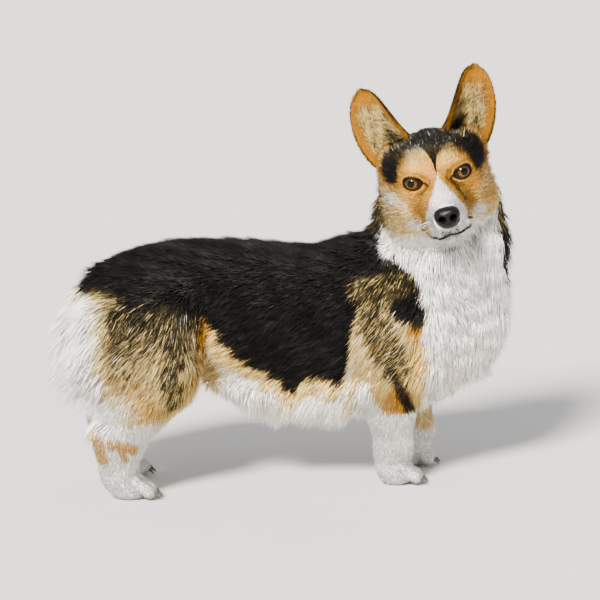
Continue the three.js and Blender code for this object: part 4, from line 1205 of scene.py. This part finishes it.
def eye(side, name):
    rings, columns = 72, 96
    polar = np.linspace(0.004, math.pi - 0.004, rings)
    polar, angle = (v.ravel() for v in np.meshgrid(polar, circle(columns), indexing="ij"))
    radius = EYE_RADIUS + 0.55 * np.exp(-((polar / 0.5) ** 4))
    flat = np.sin(polar)
    local = rows(np.cos(polar), flat * np.cos(angle), flat * np.sin(angle)) * radius[:, None]
    out = EYE_RADIUS * np.sin(np.minimum(polar, math.pi / 2))
    streak = 0.5 + 0.25 * np.sin(angle * 37 + 2 * np.sin(angle * 5)) + 0.25 * np.sin(angle * 61 + 1.3)
    iris = mix_rows(IRIS_LIGHT, IRIS_DARK, (smooth(PUPIL, IRIS, out) * 0.8 + 0.25 * streak).clip(0, 1))
    # Darker towards the top and lighter towards the bottom: painted shadow of the upper lid on the iris.
    iris = iris * mix(1.25, 0.3, smooth(-3.5, 3, local[:, 2]))[:, None]
    colour = layered(
        mix_rows(EYE_BLACK, iris, smooth(PUPIL - 0.15, PUPIL + 0.35, out)),
        (EYE_BLACK, smooth(IRIS - 0.9, IRIS + 0.1, out) * 0.85),
        (EYE_WHITE, smooth(IRIS + 0.1, IRIS + 1.2, out)),
    )
    made = mesh_of(f"eye_{name}_ball", from_eye(local, side), [turned_grid(rings, columns)], colour)
    dressed(made, EYE, "eye", f"eye_{name}")


def lids(side, name):
    """Both lids as one ring"""
    columns = 72
    angle = circle(columns)
    up = np.sin(angle)
    points, colours = [], []
    for wider, radius in LID_RINGS:
        across = (ALMOND_WIDE + wider) * np.cos(angle)
        upper = (ALMOND_UP + wider) * np.abs(up) ** UPPER_ROUND
        lower = -(ALMOND_DOWN + wider) * np.abs(up) ** LOWER_ROUND
        high = np.where(up > 0, upper, lower) + ALMOND_TILT * across
        deep = np.sqrt(np.maximum(radius**2 - np.hypot(across, high) ** 2, 1))
        points.append(from_eye(rows(deep, across, high), side))
        # The outer rows take the face's colours at 0.45, painted shade so that they pass for shaded fur
        # next to the lids; the rows at the rim are black.
        colours.append(mix(marks(Place(points[-1])) @ PELT * 0.45, PELT[BLACK], smooth(3.4, 2.0, wider)))
    faces = [turned_grid(len(LID_RINGS), columns)]
    made = mesh_of(f"lids_{name}", np.concatenate(points), faces, np.concatenate(colours))
    dressed(made, RIM, "coat_head")


SIDES = ((-1, "right"), (1, "left"))
for side in SIDES:
    ear(*side)
for side in SIDES:
    eye(*side)
    lids(*side)


# Nose. Its hollows: how softly each is cut, and the ends of a bone with their radii.
NOSE_HOLLOWS = [
    (1.6, (13, 6.3, -1.6), 4.5, (4, 6.2, -0.4), 3.4),
    (0.8, (4, 5.8, 0.4), 2.8, (-2, 9.0, 3.2), 2.0),
    (1.2, (10.8, 8.6, -3.2), 2.3, (1, 15.4, -6.4), 1.5),
    (1.5, (12.0, 0, 4), 0.7, (9, 0, -13), 1.3),
]
NOSE_GRID, NOSE_STEP = 19, 0.7


def nose_field(p):
    half = folded(to_head(p) - NOSE_AT)
    x, y, z = half.T
    narrow = 1 - 0.3 * np.clip(-z / NOSE_RADII[2], 0, 1)
    wide = (y / (NOSE_RADII[1] * narrow)) ** 2.5
    high = np.where(z > 0, np.abs(z / (NOSE_RADII[2] - 1)) ** 3, (z / NOSE_RADII[2]) ** 2)
    d = (np.sqrt((x / NOSE_RADII[0]) ** 2 + wide + high) - 1) * NOSE_RADII[0]
    for soft, *ends in NOSE_HOLLOWS:
        d = away(soft, d, bone(*ends)(half))
    return d


def nose():
    axes = [np.arange(v - NOSE_GRID, v + NOSE_GRID, NOSE_STEP) for v in from_head(NOSE_AT)]
    points, faces = surface_of(nose_field, *axes)
    leather = Nodes("nose_leather", Roughness=0.28, Specular_IOR_Level=0.13)
    pebbles = leather.texture("Voronoi", Scale=1100.0).outputs["Distance"]
    leather.relief(pebbles, 0.5, 0.0003)
    leather.two_tones(pebbles, (0.005, 0.0047, 0.0047), (0.002, 0.0019, 0.0019))
    made = mesh_of("nose_pad", settled(nose_field, points, 0.4), [faces])
    dressed(made, leather.material, "nose_leather", "nose")


nose()


# Lips: a dark rounded line between the upper lips and the chin
def lips_line():
    knots = from_head(LIP_PATH)
    count, columns, near = 90, 8, 7
    along = np.linspace(0, len(knots) - 1, count)
    line = rows(*[np.interp(along, np.arange(len(knots)), v) for v in knots.T])
    padded = np.pad(line, ((near // 2, near // 2), (0, 0)), "edge")
    line = rows(*[np.convolve(v, np.ones(near) / near, "valid") for v in padded.T])
    line = settled(skin, line, 4, 3)
    normal = slope(skin, line)[0]
    side = np.cross(unit(np.gradient(line, axis=0)), normal)
    angle = circle(columns)[:, None]
    from_end = np.minimum(np.arange(count), count - 1 - np.arange(count))
    thick = 2.0 * np.minimum(1, 0.4 + from_end / 8)
    ring = side[:, None] * np.cos(angle) + normal[:, None] * np.sin(angle) * 0.8
    points = (line[:, None] + ring * thick[:, None, None]).reshape(-1, 3)
    dark = np.tile(PELT[BLACK] * 1.3, (len(points), 1))
    dressed(mesh_of("lips", points, [turned_grid(count, columns)], dark), RIM, "nose_leather")


lips_line()


# Whiskers: a few thin pale bristles from each side of the upper lip
def whiskers():
    count, rings = 16, 6
    side = np.repeat([-1.0, 1.0], count // 2)
    ahead = rng.uniform(26, 44, count)
    root = from_head(rows(ahead, side * rng.uniform(15, 20, count), rng.uniform(-50, -38, count)))
    root = settled(skin, root, 8, 4)
    normal = slope(skin, root)[0]
    way = unit(normal + 0.5 * unit([-1.0, 0, -0.2]) @ HEAD + 0.12 * rng.normal(size=(count, 3)))
    length = rng.uniform(16, 30, (count, 1))
    paths = [root - normal * 0.5]
    for _ in range(rings):
        way = unit(way + [0, 0, -0.05] - 0.05 * HEAD[0])
        paths.append(paths[-1] + way * length / rings)
    pale = np.tile(PELT[WHITE] * 0.9, (count, 1))
    width, uv = np.full(count, 0.26), np.full((count, 2), 0.5)
    tufts("whiskers", paths, normal, width, pale, pale, uv, "coat_head")


whiskers()


# Claws: short curved cones before the toes
CLAW_LONG, CLAW_DROP, CLAW_SAG, CLAW_BEND, CLAW_WIDE, CLAW_BLUNT = 11, 9, 2, 1.05, 2.3, 0.25
CLAW_LOWEST = 0.5


def claws():
    points, faces = [], []
    rings, columns = 7, 10
    angle = circle(columns)
    for side, _, _, out, ahead in FORELEGS + HINDLEGS:
        for i in TOES:
            start = np.array([*toe_at(ahead, side * out, i, 32), 9.5])
            for u in np.linspace(0, 1, rings):
                forward, down = math.cos(u * CLAW_BEND), math.sin(u * CLAW_BEND)
                centre = start + [CLAW_LONG * down, 0, -CLAW_DROP * (1 - forward) - CLAW_SAG * u]
                ring = rows(down * np.sin(angle), np.cos(angle) * 0.8, forward * np.sin(angle))
                points.append(centre + ring * (CLAW_WIDE * (1 - u) ** 0.75 + CLAW_BLUNT))
            faces.append(turned_grid(rings, columns) + (len(points) - rings) * columns)
    points = np.concatenate(points)
    points[:, 2] = np.maximum(points[:, 2], CLAW_LOWEST)
    horn = Nodes("claw_horn", Roughness=0.4, Specular_IOR_Level=0.5)
    noise = horn.texture("Noise", Scale=500.0)
    horn.two_tones(noise.outputs["Fac"], (0.03, 0.025, 0.022), (0.11, 0.09, 0.075))
    dressed(mesh_of("claws", points, [np.concatenate(faces)]), horn.material, "nose_leather")


claws()

# Floor, light and camera
FLOOR_HALF, FLOOR_DOWN = 60000.0, 0.2
WORLD_COLOUR, WORLD_STRENGTH = (0.93, 0.95, 1.0, 1), 0.82
CAMERA_TURN, CAMERA_RAISED, CAMERA_FAR, CAMERA_AIM = math.radians(-12), math.radians(9), 3.2, (0, 0, 0.206)
LENS, SENSOR, CLIP_START, CLIP_END = 169.92, 36, 0.1, 50


def stage():
    corners = np.array([[-1, -1, 0], [1, -1, 0], [1, 1, 0], [-1, 1, 0]]) * FLOOR_HALF - [0, 0, FLOOR_DOWN]
    floor = mesh_of("floor", corners, [[[0, 1, 2, 3]]])
    paint = Nodes("floor_paint", Roughness=0.9)
    noise = paint.texture("Noise", Scale=6.0)
    paint.two_tones(noise.outputs["Fac"], (0.59, 0.57, 0.54), (0.63, 0.61, 0.58))
    floor.data.materials.append(paint.material)
    floor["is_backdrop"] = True
    world = bpy.data.worlds.new("studio")
    bpy.context.scene.world = world
    world.use_nodes = True
    backdrop = world.node_tree.nodes["Background"].inputs
    backdrop["Color"].default_value = WORLD_COLOUR
    backdrop["Strength"].default_value = WORLD_STRENGTH


def sun(name, place, strength, width, colour):
    light = bpy.data.lights.new(name, "SUN")
    light.energy, light.angle, light.color = strength, math.radians(width), colour
    made = bpy.data.objects.new(name, light)
    made.rotation_euler = Vector(place).to_track_quat("Z", "Y").to_euler()
    bpy.context.scene.collection.objects.link(made)


def view():
    level = math.cos(CAMERA_RAISED)
    back = Vector((math.sin(CAMERA_TURN) * level, -math.cos(CAMERA_TURN) * level, math.sin(CAMERA_RAISED)))
    lens = bpy.data.cameras.new("camera")
    lens.lens, lens.sensor_width, lens.clip_start, lens.clip_end = LENS, SENSOR, CLIP_START, CLIP_END
    camera = bpy.data.objects.new("camera", lens)
    camera.location = Vector(CAMERA_AIM) + Vector(OFFSET) + back * CAMERA_FAR
    camera.rotation_euler = (-back).to_track_quat("-Z", "Y").to_euler()
    bpy.context.scene.collection.objects.link(camera)
    bpy.context.scene.camera = camera


stage()
sun("key", (-1.35, -2.0, 1.6), 16.5, 14, (1.0, 0.97, 0.92))
sun("back", (0.8, 2.2, 1.6), 0.6, 60, (1, 1, 1))
view()

[[list(corner) for corner in box] for box in (cad_box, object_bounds())]
